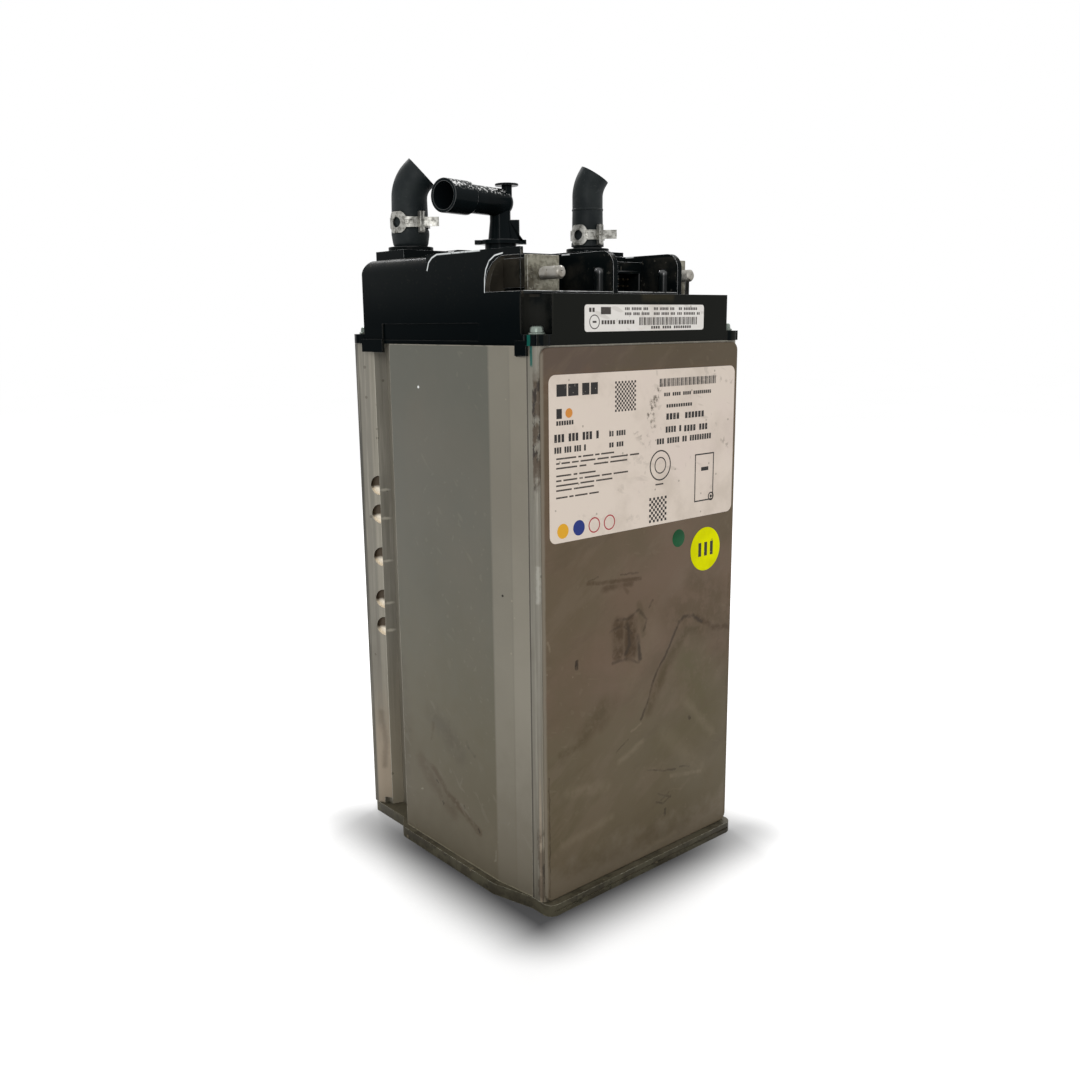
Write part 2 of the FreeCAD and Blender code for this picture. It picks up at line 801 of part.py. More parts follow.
def terminal_supports():
    """Upright blocks that back the terminal plates and their stud heads."""
    reach = f"({BODY_FRONT} - {TERMINAL_BACK} - stud_head_height)"
    return [
        block(
            f"support_{side}", ("support_width", f"{reach} + {MERGE}", "support_height"),
            (f"{sign} * {TERMINAL_X}", f"{BODY_FRONT} - ({reach} - {MERGE}) / 2"),
            f"{LEDGE} + support_rise",
        )
        for side, sign in SIDES.items()
    ]


def cover_hollows():
    """Everything that is taken out of the cover."""
    inner_width = "(case_width - 2 * cover_wall)"
    inner_depth = "(case_depth - 2 * cover_wall)"
    skirt_room = block(
        "skirt_room", (inner_width, inner_depth, "skirt_height - cover_frame - cover_wall"), ("0", "0"),
        f"{CASE_TOP} + cover_frame",
    )
    front_length = "(body_sharp - cover_wall)"
    body_room = block(
        "body_room", (inner_width, f"{front_length} + {MERGE}", "body_height"),
        ("0", f"{BODY_FRONT} + cover_wall + ({front_length} + {MERGE}) / 2"), f"{LEDGE} - cover_wall",
    )
    rear_length = f"({HALF_DEPTH} - {BODY_FRONT} - body_sharp - cover_wall)"
    rear_room = block(
        "rear_room", (inner_width, rear_length, "body_height"),
        ("0", f"{HALF_DEPTH} - cover_wall - {rear_length} / 2"), f"{LEDGE} - cover_wall",
    )
    soft_room = soft_roof("rear_room_soft", rear_room, "roof_radius - cover_wall")
    rooms = joined("cover_rooms", [skirt_room, body_room, soft_room])
    columns = [
        round_bar(
            f"screw_column_{n}", "scallop_radius + cover_wall", "skirt_height + body_height",
            (x, y, CASE_TOP),
        )
        for n, (x, y) in enumerate(SCREW_SPOTS)
    ]
    hollows = [trimmed("cover_room", rooms, columns)]
    hollows.append(prism("frame_opening", [hollow_outline("0")], CASE_TOP, f"(cover_frame + {MERGE})"))
    ring = [hollow_outline("(seal_inset + seal_width)"), hollow_outline("seal_inset")]
    hollows.append(prism("seal_groove", ring, CASE_TOP, "seal_thickness"))
    for n, (x, y) in enumerate(SCREW_SPOTS):
        ear_top = f"({CASE_TOP} + ear_height)"
        tall = "skirt_height + body_height + platform_height"
        hollows.append(round_bar(f"scallop_{n}", "scallop_radius", tall, (x, y, ear_top)))
        hollows.append(block(
            f"scallop_corner_{n}", ("screw_inset * 2", "screw_depth_inset * 2", tall),
            (f"{x} * (1 + screw_inset / {SCREW_X})", f"{y} * (1 + screw_depth_inset / {SCREW_Y})"),
            ear_top,
        ))
        hollows.append(round_bar(
            f"ear_bore_{n}", "screw_radius + screw_clearance", f"ear_height + {MERGE}",
            (x, y, CASE_TOP),
        ))
    for side, sign in SIDES.items():
        hollows.append(block(
            f"skirt_recess_{side}", ("2 * recess_depth", "recess_length", "recess_height"),
            (f"{sign} * {HALF_WIDTH}", "recess_centre"), f"{CASE_TOP} + recess_rise",
        ))
        hollows.append(block(
            f"leg_slot_{side}", ("bar_width", "4 * cover_wall", "terminal_thickness"),
            (f"{sign} * {TERMINAL_X}", BODY_FRONT), LEDGE,
        ))
    hollows.append(block(
        "connector_slot", ("connector_width", "connector_depth", "connector_height"),
        (CONNECTOR_X, CONNECTOR_MIDDLE), f"{LEDGE} + connector_rise",
    ))
    for name, spot in PORTS.items():
        hollows.append(round_bar(
            f"spigot_bore_{name}", "spigot_radius", "2 * cover_wall + platform_height",
            (*spot, f"{PLATFORM} - 2 * cover_wall - platform_height"),
        ))
    hollows.append(round_bar(
        "vent_hole", "vent_bore", "2 * cover_wall", ("0", VENT_Y, f"{ROOF} - 1.5 * cover_wall")
    ))
    return hollows


CONNECTOR_FACE = f"({BODY_FRONT} - connector_block - connector_reach)"
CONNECTOR_MIDDLE = f"({CONNECTOR_FACE} + connector_depth / 2)"


def make_cover():
    """Moulded cover: skirt, raised rear body, fins, platforms and screw ears."""
    solid = joined("cover_solid", cover_solids())
    piece("top_cover", trimmed("cover_cut", solid, cover_hollows()))


def make_terminals():
    """L-shaped terminal plates with threaded studs that point forwards."""
    for name, sign in (("positive", "-1"), ("negative", "1")):
        x = f"({sign} * {TERMINAL_X})"
        upright = block(
            f"terminal_upright_{name}", ("terminal_width", "terminal_thickness", "terminal_height"),
            (x, f"{TERMINAL_FACE} + terminal_thickness / 2"), LEDGE,
        )
        leg_length = f"({BODY_FRONT} - {TERMINAL_FACE} + cover_wall + bar_landing)"
        leg = block(
            f"terminal_leg_{name}", ("bar_width", leg_length, "terminal_thickness"),
            (x, f"{TERMINAL_FACE} + {leg_length} / 2"), LEDGE,
        )
        hole = round_bar(
            f"terminal_hole_{name}", "stud_neck_radius", "2 * terminal_thickness",
            (x, f"{TERMINAL_FACE} - {MERGE}", f"{LEDGE} + stud_rise"), "Y",
        )
        plate = joined(f"terminal_solid_{name}", [upright, leg])
        piece(f"terminal_plate_{name}", trimmed(f"terminal_cut_{name}", plate, [hole]))
        shank = round_bar(
            f"stud_shank_{name}", "stud_radius", "stud_length",
            (x, f"{TERMINAL_FACE} - stud_length", f"{LEDGE} + stud_rise"), "Y",
        )
        soft = document.addObject("Part::Chamfer", f"stud_chamfer_{name}")
        document.recompute()
        tip = shank.Shape.BoundBox.YMin
        bevel = amount("stud_bevel")
        soft.Base = shank
        soft.Edges = [
            (n, bevel, bevel)
            for n, edge in enumerate(shank.Shape.Edges, 1)
            if edge.BoundBox.YMax < tip + 1e-6
        ]
        neck = round_bar(
            f"stud_neck_{name}", "stud_neck_radius", f"terminal_thickness + 2 * {MERGE}",
            (x, f"{TERMINAL_FACE} - {MERGE}", f"{LEDGE} + stud_rise"), "Y",
        )
        head = round_bar(
            f"stud_head_{name}", "stud_head_radius", "stud_head_height",
            (x, TERMINAL_BACK, f"{LEDGE} + stud_rise"), "Y",
        )
        piece(f"stud_{name}", joined(f"stud_solid_{name}", [soft, neck, head]))


def make_connector():
    """Socket with an open front, and its two rows of pins."""
    middle = (CONNECTOR_X, CONNECTOR_MIDDLE)
    bottom = f"({LEDGE} + connector_rise)"
    size = ("connector_width", "connector_depth", "connector_height")
    body = block("connector_body", size, middle, bottom)
    room = block(
        "connector_room",
        (f"{size[0]} - 2 * connector_wall", "2 * socket_depth", f"{size[2]} - 2 * connector_wall"),
        (CONNECTOR_X, CONNECTOR_FACE), f"{bottom} + connector_wall",
    )
    piece("data_connector", trimmed("connector_cut", body, [room]))
    rows, columns = 2, 6
    pins = [
        round_bar(
            f"pin_{row}_{column}", "pin_radius", "pin_length",
            (
                f"{CONNECTOR_X} + ({column - (columns - 1) / 2}) * pin_pitch",
                f"{CONNECTOR_FACE} + socket_depth - pin_length",
                f"{bottom} + connector_height / 2 + ({row - (rows - 1) / 2}) * pin_pitch",
            ), "Y",
        )
        for row in range(rows)
        for column in range(columns)
    ]
    piece("connector_pins", grouped("connector_pin_set", pins))


def make_spigots():
    """Two coolant spigots on the roof platforms."""
    for name, (x, y) in PORTS.items():
        foot = f"({ROOF} - spigot_tail)"
        length = "spigot_tail + platform_height + spigot_flange + spigot_height"
        tube = round_bar(f"spigot_tube_{name}", "spigot_radius", length, (x, y, foot))
        flange = round_bar(
            f"spigot_flange_{name}", "spigot_flange_radius", "spigot_flange", (x, y, PLATFORM)
        )
        bore = round_bar(f"spigot_hole_{name}", "spigot_bore", length, (x, y, foot))
        solid = joined(f"spigot_solid_{name}", [tube, flange])
        piece(f"coolant_spigot_{name}", trimmed(f"spigot_cut_{name}", solid, [bore]))


def swept_tube(name, outer, inner, route):
    """Sweep a tube along lines and arcs in the body's own XZ plane, from its origin."""
    body = document.addObject("PartDesign::Body", name)
    section = new_sketch(body, name + "_section", "XY_Plane")
    add_circle(section, ("0", "0"), outer)
    add_circle(section, ("0", "0"), inner)
    spine = new_sketch(body, name + "_spine", "XZ_Plane")
    here = ("0", "0")
    last = None
    for step in route:
        start = FreeCAD.Vector(amount(here[0]), amount(here[1]), 0)
        end = FreeCAD.Vector(amount(step[-1][0]), amount(step[-1][1]), 0)
        if step[0] == "line":
            edge = spine.addGeometry(Part.LineSegment(start, end), False)
            first, second = 1, 2
        else:
            centre = FreeCAD.Vector(amount(step[1][0]), amount(step[1][1]), 0)
            edge, first, second = add_arc(spine, centre, start, end)
            radius = spine.addConstraint(Sketcher.Constraint("Radius", edge, (start - centre).Length))
            spine.setExpression(f"Constraints[{radius}]", linked(step[2]))
        if last is None:
            fix_point(spine, edge, first, here)
        else:
            spine.addConstraint(Sketcher.Constraint("Coincident", last[0], last[1], edge, first))
        fix_point(spine, edge, second, step[-1])
        here = step[-1]
        last = (edge, second)
    tube = body.newObject("PartDesign::AdditivePipe", name + "_tube")
    tube.Profile = section
    tube.Spine = (spine, [f"Edge{n}" for n in range(1, len(route) + 1)])
    section.Visibility = False
    spine.Visibility = False
    return body


def add_arc(sketch, centre, start, end):
    """Add the short arc between two points and say which of its ends is which."""
    ring = Part.Circle(centre, FreeCAD.Vector(0, 0, 1), (start - centre).Length)
    turning_left = (start - centre).cross(end - centre).z > 0
    low, high = (start, end) if turning_left else (end, start)
    arc = Part.ArcOfCircle(ring, ring.parameter(low), full_turn(ring, low, high))
    edge = sketch.addGeometry(arc, False)
    return (edge, 1, 2) if turning_left else (edge, 2, 1)


def full_turn(ring, low, high):
    """The parameter of the arc's far end, past that of its near end."""
    far = ring.parameter(high)
    return far if far > ring.parameter(low) + 1e-9 else far + ring.LastParameter


def make_hoses():
    """Cut hose stubs that rise from the spigots and bend away."""
    for name, spot in PORTS.items():
        rise, bend, turn = (f"{name}_hose_{word}" for word in ("rise", "bend", "turn"))
        arc_end = (f"{bend} - {bend} * cos({turn})", f"{rise} + {bend} * sin({turn})")
        route = [
            ("line", ("0", rise)),
            ("arc", (bend, rise), bend, arc_end),
            ("line", (
                f"{arc_end[0]} + hose_tail * sin({turn})",
                f"{arc_end[1]} + hose_tail * cos({turn})",
            )),
        ]
        hose = swept_tube(f"hose_{name}_body", f"{name}_hose_radius", "spigot_radius", route)
        hose.Placement.Rotation = heading_turn("hose_heading")
        place(hose, (*spot, f"{PLATFORM} + spigot_flange"))
        piece(f"hose_{name}", hose)


def make_coolant_pipes():
    """Pipes inside the case, from the cold plate's ports up to the spigots."""
    port_y = f"({INNER_REAR} - cold_plate_thickness / 2)"
    port_z = f"(base_height + cold_plate_rise + {COLD_PLATE_HEIGHT} - pipe_overlap)"
    for name, (x, y) in PORTS.items():
        level = f"({SHELF} + pipe_level - {port_z})"
        across = f"({port_y} - {y})"
        route = [
            ("line", ("0", f"{level} - pipe_bend")),
            ("arc", ("pipe_bend", f"{level} - pipe_bend"), "pipe_bend", ("pipe_bend", level)),
            ("line", (f"{across} - pipe_bend", level)),
            (
                "arc", (f"{across} - pipe_bend", f"{level} + pipe_bend"), "pipe_bend",
                (across, f"{level} + pipe_bend"),
            ),
            ("line", (across, f"{ROOF} - spigot_tail + pipe_overlap - {port_z}")),
        ]
        pipe = swept_tube(f"coolant_{name}_body", "spigot_bore", "spigot_bore - pipe_wall", route)
        pipe.Placement.Rotation = heading_turn("-90")
        place(pipe, (x, port_y, port_z))
        piece(f"coolant_pipe_{name}", pipe)


def heading_turn(heading):
    """A turn about the upright axis."""
    return FreeCAD.Rotation(FreeCAD.Vector(0, 0, 1), amount(heading))


def arm(name, size, hub, reach, bottom, heading):
    """A box that starts at a distance from a hub and points along a heading in the plan."""
    thing = document.addObject("Part::Box", name)
    for prop, formula in zip(("Length", "Width", "Height"), size):
        bind(thing, prop, formula)
    thing.Placement.Rotation = heading_turn(heading)
    place(thing, (
        f"{hub[0]} + ({reach}) * cos({heading}) + ({size[1]}) / 2 * sin({heading})",
        f"{hub[1]} + ({reach}) * sin({heading}) - ({size[1]}) / 2 * cos({heading})",
        bottom,
    ))
    return thing


def make_clamps():
    """Spring band clamps: a narrow band, a wide holed lobe, an upright hook and a flat tail."""
    for name, hub in PORTS.items():
        level = f"({PLATFORM} + spigot_flange + {name}_clamp_rise)"
        outer = f"({name}_hose_radius + clamp_thickness)"
        hook_heading = "(hose_heading - clamp_hook_heading)"
        hook_reach = f"({outer} + clamp_hook / 2)"
        hook_hub = (
            f"({hub[0]} + {hook_reach} * cos({hook_heading}))",
            f"({hub[1]} + {hook_reach} * sin({hook_heading}))",
        )
        lobe_heading = "hose_heading - clamp_lobe_heading"
        band = round_bar(f"band_{name}", outer, "clamp_band", (*hub, f"{level} - clamp_band / 2"))
        lobe = document.addObject("Part::Cylinder", f"lobe_{name}")
        bind(lobe, "Radius", outer)
        bind(lobe, "Height", "clamp_lobe")
        bind(lobe, "Angle", "clamp_lobe_angle")
        lobe.Placement.Rotation = heading_turn(f"{lobe_heading} - clamp_lobe_angle / 2")
        place(lobe, (*hub, f"{level} - clamp_lobe / 2"))
        hook = arm(
            f"hook_{name}", ("clamp_hook", "clamp_hook_width", "clamp_lobe"), hub,
            f"{name}_hose_radius + clamp_thickness / 2", f"{level} - clamp_lobe / 2", hook_heading,
        )
        tail = arm(
            f"tail_{name}", ("clamp_tail", "clamp_thickness", "clamp_tail_width"), hook_hub,
            "0", f"{level} - clamp_tail_width / 2", "(hose_heading)",
        )
        solid = joined(f"clamp_solid_{name}", [band, lobe, hook, tail])
        room = round_bar(
            f"clamp_room_{name}", f"{name}_hose_radius", "2 * clamp_lobe",
            (*hub, f"{level} - clamp_lobe"),
        )
        hole = document.addObject("Part::Cylinder", f"clamp_hole_{name}")
        hole.Placement.Rotation = heading_turn(lobe_heading).multiply(TURNS["X"])
        bind(hole, "Radius", "clamp_hole")
        bind(hole, "Height", f"2 * {outer}")
        place(hole, (*hub, level))
        piece(f"clamp_{name}", trimmed(f"clamp_cut_{name}", solid, [room, hole]))


def make_vent():
    """Vent elbow on its seal ring: lugged flange, tapered leg, level pipe and wide mouth."""
    middle = ("0", VENT_Y)
    foot = f"({ROOF} + vent_ring)"
    axis = f"({ROOF} + vent_axis_rise)"
    top = f"({ROOF} + vent_base_height + vent_flange)"
    flange_foot = f"({ROOF} + vent_base_height)"
    cap_spot = ("vent_cap_shift", f"{VENT_Y} - vent_cap_shift")
    cap_foot = f"{axis} + vent_pipe_radius + vent_cap"
    solids = [
        round_bar("vent_base", "vent_base_radius", "vent_base_height", (*middle, foot)),
        round_bar("vent_flange_disc", "vent_flange_radius", "vent_flange", (*middle, flange_foot)),
        cone(
            "vent_taper", "vent_foot_radius", "vent_leg_radius", f"({axis} - {top}) / 2",
            (*middle, top),
        ),
        round_bar("vent_leg", "vent_leg_radius", f"{axis} - {top}", (*middle, top)),
        arm(
            "vent_latch", ("vent_latch", "vent_latch_width", "vent_latch"), middle, "0", top,
            "(hose_heading)",
        ),
        round_bar("vent_post", "vent_post_radius", "vent_pipe_radius + vent_cap", (*cap_spot, axis)),
        round_bar("vent_cap_disc", "vent_cap_radius", "vent_cap", (*cap_spot, cap_foot)),
    ]
    for n, heading in enumerate(("(hose_heading)", "(hose_heading + 180)")):
        solids.append(arm(
            f"vent_lug_{n}", (f"vent_lug + {MERGE}", "vent_latch_width", "vent_flange"), middle,
            f"vent_flange_radius - {MERGE}", flange_foot, heading,
        ))
    elbow = document.addObject("Part::Sphere", "vent_elbow_ball")
    bind(elbow, "Radius", "vent_pipe_radius")
    place(elbow, (*middle, axis))
    solids.append(elbow)
    turn = heading_turn("vent_heading").multiply(TURNS["X"])
    mouth_start = "(vent_pipe_length - vent_mouth_length)"
    along_pipe = (
        ("vent_pipe", "vent_pipe_radius", "vent_pipe_length", "0", solids),
        ("vent_mouth", "vent_mouth_radius", "vent_mouth_length", mouth_start, solids),
    )
    bores = [round_bar("vent_leg_bore", "vent_bore", f"{axis} - {foot}", (*middle, foot))]
    along_bore = (
        ("vent_pipe_bore", "vent_bore", "vent_pipe_length", "0", bores),
        ("vent_mouth_room", "vent_mouth_bore", "vent_mouth_length", mouth_start, bores),
    )
    for name, radius, length, start, kept in along_pipe + along_bore:
        bar = document.addObject("Part::Cylinder", name)
        bar.Placement.Rotation = turn
        bind(bar, "Radius", radius)
        bind(bar, "Height", length)
        place(bar, (
            f"({start}) * cos(vent_heading)",
            f"{VENT_Y} + ({start}) * sin(vent_heading)",
            axis,
        ))
        kept.append(bar)
    piece("vent_elbow", trimmed("vent_cut", joined("vent_solid", solids), bores))
    ring = round_bar("vent_ring_disc", "vent_base_radius", "vent_ring", (*middle, ROOF))
    ring_hole = round_bar("vent_ring_hole", "vent_bore", "vent_ring", (*middle, ROOF))
    piece("vent_seal_ring", trimmed("vent_ring_cut", ring, [ring_hole]))


def make_labels():
    """Thin stickers: a large and a small label and a round one."""
    face = f"({FRONT_FACE} - label_thickness / 2)"
    foot = f"({CASE_TOP} - rating_label_drop - rating_label_height)"
    rating = block(
        "rating_blank", ("rating_label_width", "label_thickness", "rating_label_height"),
        ("rating_label_shift", face), foot,
    )
    piece("rating_label", rounded(
        "rating_corners", rating, "rating_label_corner", lambda edge: along(edge, 1)
    ))
    small = block(
        "small_blank", ("small_label_width", "label_thickness", "small_label_height"),
        ("rating_label_shift", f"-{HALF_DEPTH} - label_thickness / 2"), f"{CASE_TOP} + small_label_rise",
    )
    piece("small_label", rounded(
        "small_corners", small, "small_label_corner", lambda edge: along(edge, 1)
    ))
    piece("round_sticker", round_bar(
        "sticker_disc", "sticker_radius", "label_thickness",
        ("sticker_place", f"{FRONT_FACE} - label_thickness", f"{foot} - sticker_gap - sticker_radius"), "Y",
    ))


def cell_level(number):
    return f"({STACK_FOOT} + {number} * {CELL_PITCH})"


def make_cells():
    """Fourteen flat cells, one above the other, with their poles to the front."""
    size = (CELL_WIDTH, CELL_DEPTH, CELL_THICKNESS)
    count = round(amount("stack_count"))
    for n in range(count):
        can = block(f"can_{n}", size, ("0", CELL_MIDDLE), cell_level(n))
        soft = rounded(f"can_soft_{n}", can, "cell_corner", lambda edge: along(edge, 2))
        poles = [
            block(
                f"pole_{n}_{side}", ("pole_width", f"pole_length + {MERGE}", "pole_height"),
                (f"{sign} * pole_place", f"{CELL_FRONT} - (pole_length - {MERGE}) / 2"),
                f"{cell_level(n)} + ({CELL_THICKNESS} - pole_height) / 2",
            )
            for side, sign in SIDES.items()
        ]
        piece(f"cell_{n + 1:02d}", joined(f"cell_solid_{n}", [soft] + poles))
    spacers = [
        block(
            f"spacer_{n}", (CELL_WIDTH, CELL_DEPTH, "spacer_thickness"), ("0", CELL_MIDDLE),
            f"{cell_level(n)} - spacer_thickness",
        )
        for n in range(1, count)
    ]
    piece("cell_spacers", grouped("spacer_set", spacers))
    links = [
        block(
            f"link_{n}", ("pole_width", "link_thickness", f"{CELL_PITCH} + pole_height"),
            (f"({'-1' if n % 2 else '1'}) * (-pole_place)", f"{POLE_FRONT} - link_thickness / 2"),
            f"{cell_level(n)} + ({CELL_THICKNESS} - pole_height) / 2",
        )
        for n in range(count - 1)
    ]
    piece("cell_links", grouped("link_set", links))
    carrier = block(
        "carrier_blank", (CELL_WIDTH, "pole_length", STACK_HEIGHT),
        ("0", f"{CELL_FRONT} - pole_length / 2"), STACK_FOOT,
    )
    windows = [
        block(
            f"carrier_window_{n}_{side}",
            ("pole_width + 2 * screw_clearance", "2 * pole_length", "pole_height + 2 * screw_clearance"),
            (f"{sign} * pole_place", f"{CELL_FRONT} - pole_length / 2"),
            f"{cell_level(n)} + ({CELL_THICKNESS} - pole_height) / 2 - screw_clearance",
        )
        for n in range(count)
        for side, sign in SIDES.items()
    ]
    piece("contact_carrier", trimmed("carrier_cut", carrier, windows))


def make_end_plates():
    """Thick plates under and over the cells, drawn together by four rods."""
    wide_rear = f"({CHANNEL_START} - case_wall - end_plate_gap)"
    wide_depth = f"({wide_rear} - {CELL_FRONT})"
    half_width = f"({HALF_WIDTH} - case_wall - end_plate_side_gap)"
    rod_rows = {
        "-1": f"({CELL_FRONT} + rod_inset_front)",
        "1": f"({wide_rear} - rod_inset_rear)",
    }
    rods = [(f"({x} * ({half_width} - rod_inset_side))", rod_rows[y]) for x, y in CORNERS]
    for name, level in (("lower", "base_height"), ("upper", f"({SHELF} - end_plate)")):
        wide = block(
            f"end_wide_{name}", (f"2 * {half_width}", wide_depth, "end_plate"),
            ("0", f"{CELL_FRONT} + {wide_depth} / 2"), level,
        )
        long = block(
            f"end_long_{name}", (CELL_WIDTH, CELL_DEPTH, "end_plate"), ("0", CELL_MIDDLE), level
        )
        holes = [
            round_bar(f"end_hole_{name}_{n}", "rod_radius", "end_plate", (x, y, level))
            for n, (x, y) in enumerate(rods)
        ]
        if name == "lower":
            holes.extend(
                round_bar(f"rod_room_{n}", "rod_head + screw_clearance", "nut_height", (x, y, level))
                for n, (x, y) in enumerate(rods)
            )
        plate = joined(f"end_solid_{name}", [wide, long])
        piece(f"end_plate_{name}", trimmed(f"end_cut_{name}", plate, holes))
    bars = []
    foot = "base_height + rod_recess"
    for n, (x, y) in enumerate(rods):
        bars.append(joined(f"rod_solid_{n}", [
            round_bar(f"rod_{n}", "rod_radius", f"{SHELF} - base_height + nut_height", (x, y, foot)),
            round_bar(f"rod_head_{n}", "rod_head", "nut_height - rod_recess", (x, y, foot)),
            round_bar(f"rod_nut_{n}", "rod_head", "nut_height", (x, y, SHELF)),
        ]))
    piece("tie_rods", grouped("rod_set", bars))


def make_cooling():
    """Cold plate on the rear wall, with its ports, and the pad between it and the cells."""
    level = "(base_height + cold_plate_rise)"
    plate = block(
        "cold_blank", (COLD_PLATE_WIDTH, "cold_plate_thickness", COLD_PLATE_HEIGHT),
        ("0", f"{INNER_REAR} - cold_plate_thickness / 2"), level,
    )
    ports = []
    for name, (x, _) in PORTS.items():
        spot = (x, f"{INNER_REAR} - cold_plate_thickness / 2")
        mouth = f"{level} + {COLD_PLATE_HEIGHT} - pipe_overlap"
        ports.append(round_bar(f"cold_port_{name}", "spigot_bore", "pipe_overlap", (*spot, mouth)))
        ports.append(round_bar(
            f"cold_channel_{name}", "spigot_bore - pipe_wall",
            f"{COLD_PLATE_HEIGHT} - cold_plate_rise - pipe_overlap",
            (*spot, f"{level} + cold_plate_rise"),
        ))
    piece("cold_plate", trimmed("cold_cut", plate, ports))
    piece("gap_pad", block(
        "gap_pad_sheet", (COLD_PLATE_WIDTH, "pad_thickness", STACK_HEIGHT),
        ("0", f"{COLD_PLATE_FRONT} - pad_thickness / 2"), STACK_FOOT,
    ))


POWER_FRONT = f"({CELL_FRONT} + bar_thickness)"
BAR_FRONT = f"({BODY_FRONT} + cover_wall + screw_clearance)"
RISER_MIDDLE = f"({POLE_FRONT} - bar_thickness / 2)"


def make_power_parts():
    """Fuse, contactor and current shunt on the upper end plate, with their bars."""
    piece("fuse", block(
        "fuse_block", ("fuse_width", "fuse_length", "fuse_height"),
        ("-fuse_place", f"{POWER_FRONT} + fuse_length / 2"), SHELF,
    ))
    contactor_front = f"({BODY_FRONT} + cover_wall + bar_landing + contactor_gap)"
    fuse_link_length = f"({contactor_front} - {POWER_FRONT} - fuse_length + bar_landing)"
    piece("contactor", block(
        "contactor_block", ("contactor_width", "contactor_length", f"{BAR_LEVEL} - {SHELF}"),
        (f"-{TERMINAL_X}", f"{contactor_front} + contactor_length / 2"), SHELF,
    ))
    piece("fuse_link", block(
        "fuse_link_bar", ("bar_width", fuse_link_length, "bar_thickness"),
        ("-fuse_place", f"{contactor_front} - {fuse_link_length} / 2"), f"{SHELF} + fuse_height",
    ))
    piece("busbar_positive", block(
        "positive_bar", ("bar_width", "bar_reach", "bar_thickness"),
        (f"-{TERMINAL_X}", f"{BAR_FRONT} + bar_reach / 2"), BAR_LEVEL,
    ))
    shunt_rear = f"({BAR_FRONT} + negative_bar_reach)"
    shunt_length = f"({shunt_rear} - {POWER_FRONT})"
    piece("current_shunt", block(
        "shunt_block", ("shunt_width", shunt_length, "shunt_height"),
        (TERMINAL_X, f"{POWER_FRONT} + {shunt_length} / 2"), SHELF,
    ))
    upright = block(
        "negative_upright",
        ("bar_width", "bar_thickness", f"{BAR_LEVEL} + bar_thickness - {SHELF} - shunt_height"),
        (TERMINAL_X, f"{shunt_rear} - bar_thickness / 2"), f"{SHELF} + shunt_height",
    )
    level = block(
        "negative_level", ("bar_width", "negative_bar_reach", "bar_thickness"),
        (TERMINAL_X, f"{BAR_FRONT} + negative_bar_reach / 2"), BAR_LEVEL,
    )
    piece("busbar_negative", joined("negative_solid", [upright, level]))


def make_risers():
    """Bars that lead from the first and the last cell up to the shunt and the fuse."""
    pole_foot = f"({STACK_FOOT} + ({CELL_THICKNESS} - pole_height) / 2)"
    last_foot = f"({pole_foot} + (stack_count - 1) * {CELL_PITCH})"
    top = f"({SHELF} + bar_thickness)"
    tab_depth = f"({POWER_FRONT} - {POLE_FRONT} + bar_thickness)"
    tab_middle = f"({POWER_FRONT} - {tab_depth} / 2)"
    foot_width = "(riser_place + riser_width / 2 - pole_place + pole_width / 2)"
    piece("riser_negative", joined("riser_negative_solid", [
        block(
            "riser_foot", (foot_width, "bar_thickness", "pole_height"),
            (f"riser_place + riser_width / 2 - {foot_width} / 2", RISER_MIDDLE), pole_foot,
        ),
        block(
            "riser_negative_bar", ("riser_width", "bar_thickness", f"{top} - {pole_foot}"),
            ("riser_place", RISER_MIDDLE), pole_foot,
        ),
        block(
            "riser_negative_tab", ("riser_width", tab_depth, "bar_thickness"),
            ("riser_place", tab_middle), SHELF,
        ),
    ]))
    cross_width = "(pole_place + pole_width / 2 + fuse_place + bar_width / 2)"
    piece("riser_positive", joined("riser_positive_solid", [
        block(
            "riser_positive_bar", ("pole_width", "bar_thickness", f"{top} - {last_foot}"),
            ("pole_place", RISER_MIDDLE), last_foot,
        ),
        block(
            "riser_positive_cross", (cross_width, "bar_thickness", "cross_bar_height"),
            (f"pole_place + pole_width / 2 - {cross_width} / 2", RISER_MIDDLE),
            f"{top} - cross_bar_height",
        ),
        block(
            "riser_positive_tab", ("bar_width", tab_depth, "bar_thickness"),
            ("-fuse_place", tab_middle), SHELF,
        ),
    ]))


def make_control_board():
    """Control board on four standoffs, with its larger components."""
    level = f"({SHELF} + standoff_height)"
    top = f"({level} + board_thickness)"
    middle = ("board_place_x", "board_place_y")
    parts = [
        block("board_sheet", ("board_width", "board_length", "board_thickness"), middle, level),
        block("processor", ("processor_width", "processor_width", "processor_height"), middle, level),
        block(
            "board_header", ("header_width", "header_depth", "header_height"),
            ("board_place_x", "board_place_y - header_place"), level,
        ),
    ]
    capacitors = 4
    for n in range(capacitors):
        parts.append(round_bar(f"capacitor_{n}", "capacitor_radius", "capacitor_height", (
            f"board_place_x + ({n - (capacitors - 1) / 2}) * capacitor_pitch",
            "board_place_y + capacitor_place", level,
        )))
    piece("control_board", joined("board_solid", parts))
    legs = [
        round_bar(f"standoff_{n}", "standoff_radius", "standoff_height", (
            f"board_place_x + {x} * (board_width / 2 - board_inset)",
            f"board_place_y + {y} * (board_length / 2 - board_inset)", SHELF,
        ))
        for n, (x, y) in enumerate(CORNERS)
    ]
    piece("board_standoffs", grouped("standoff_set", legs))


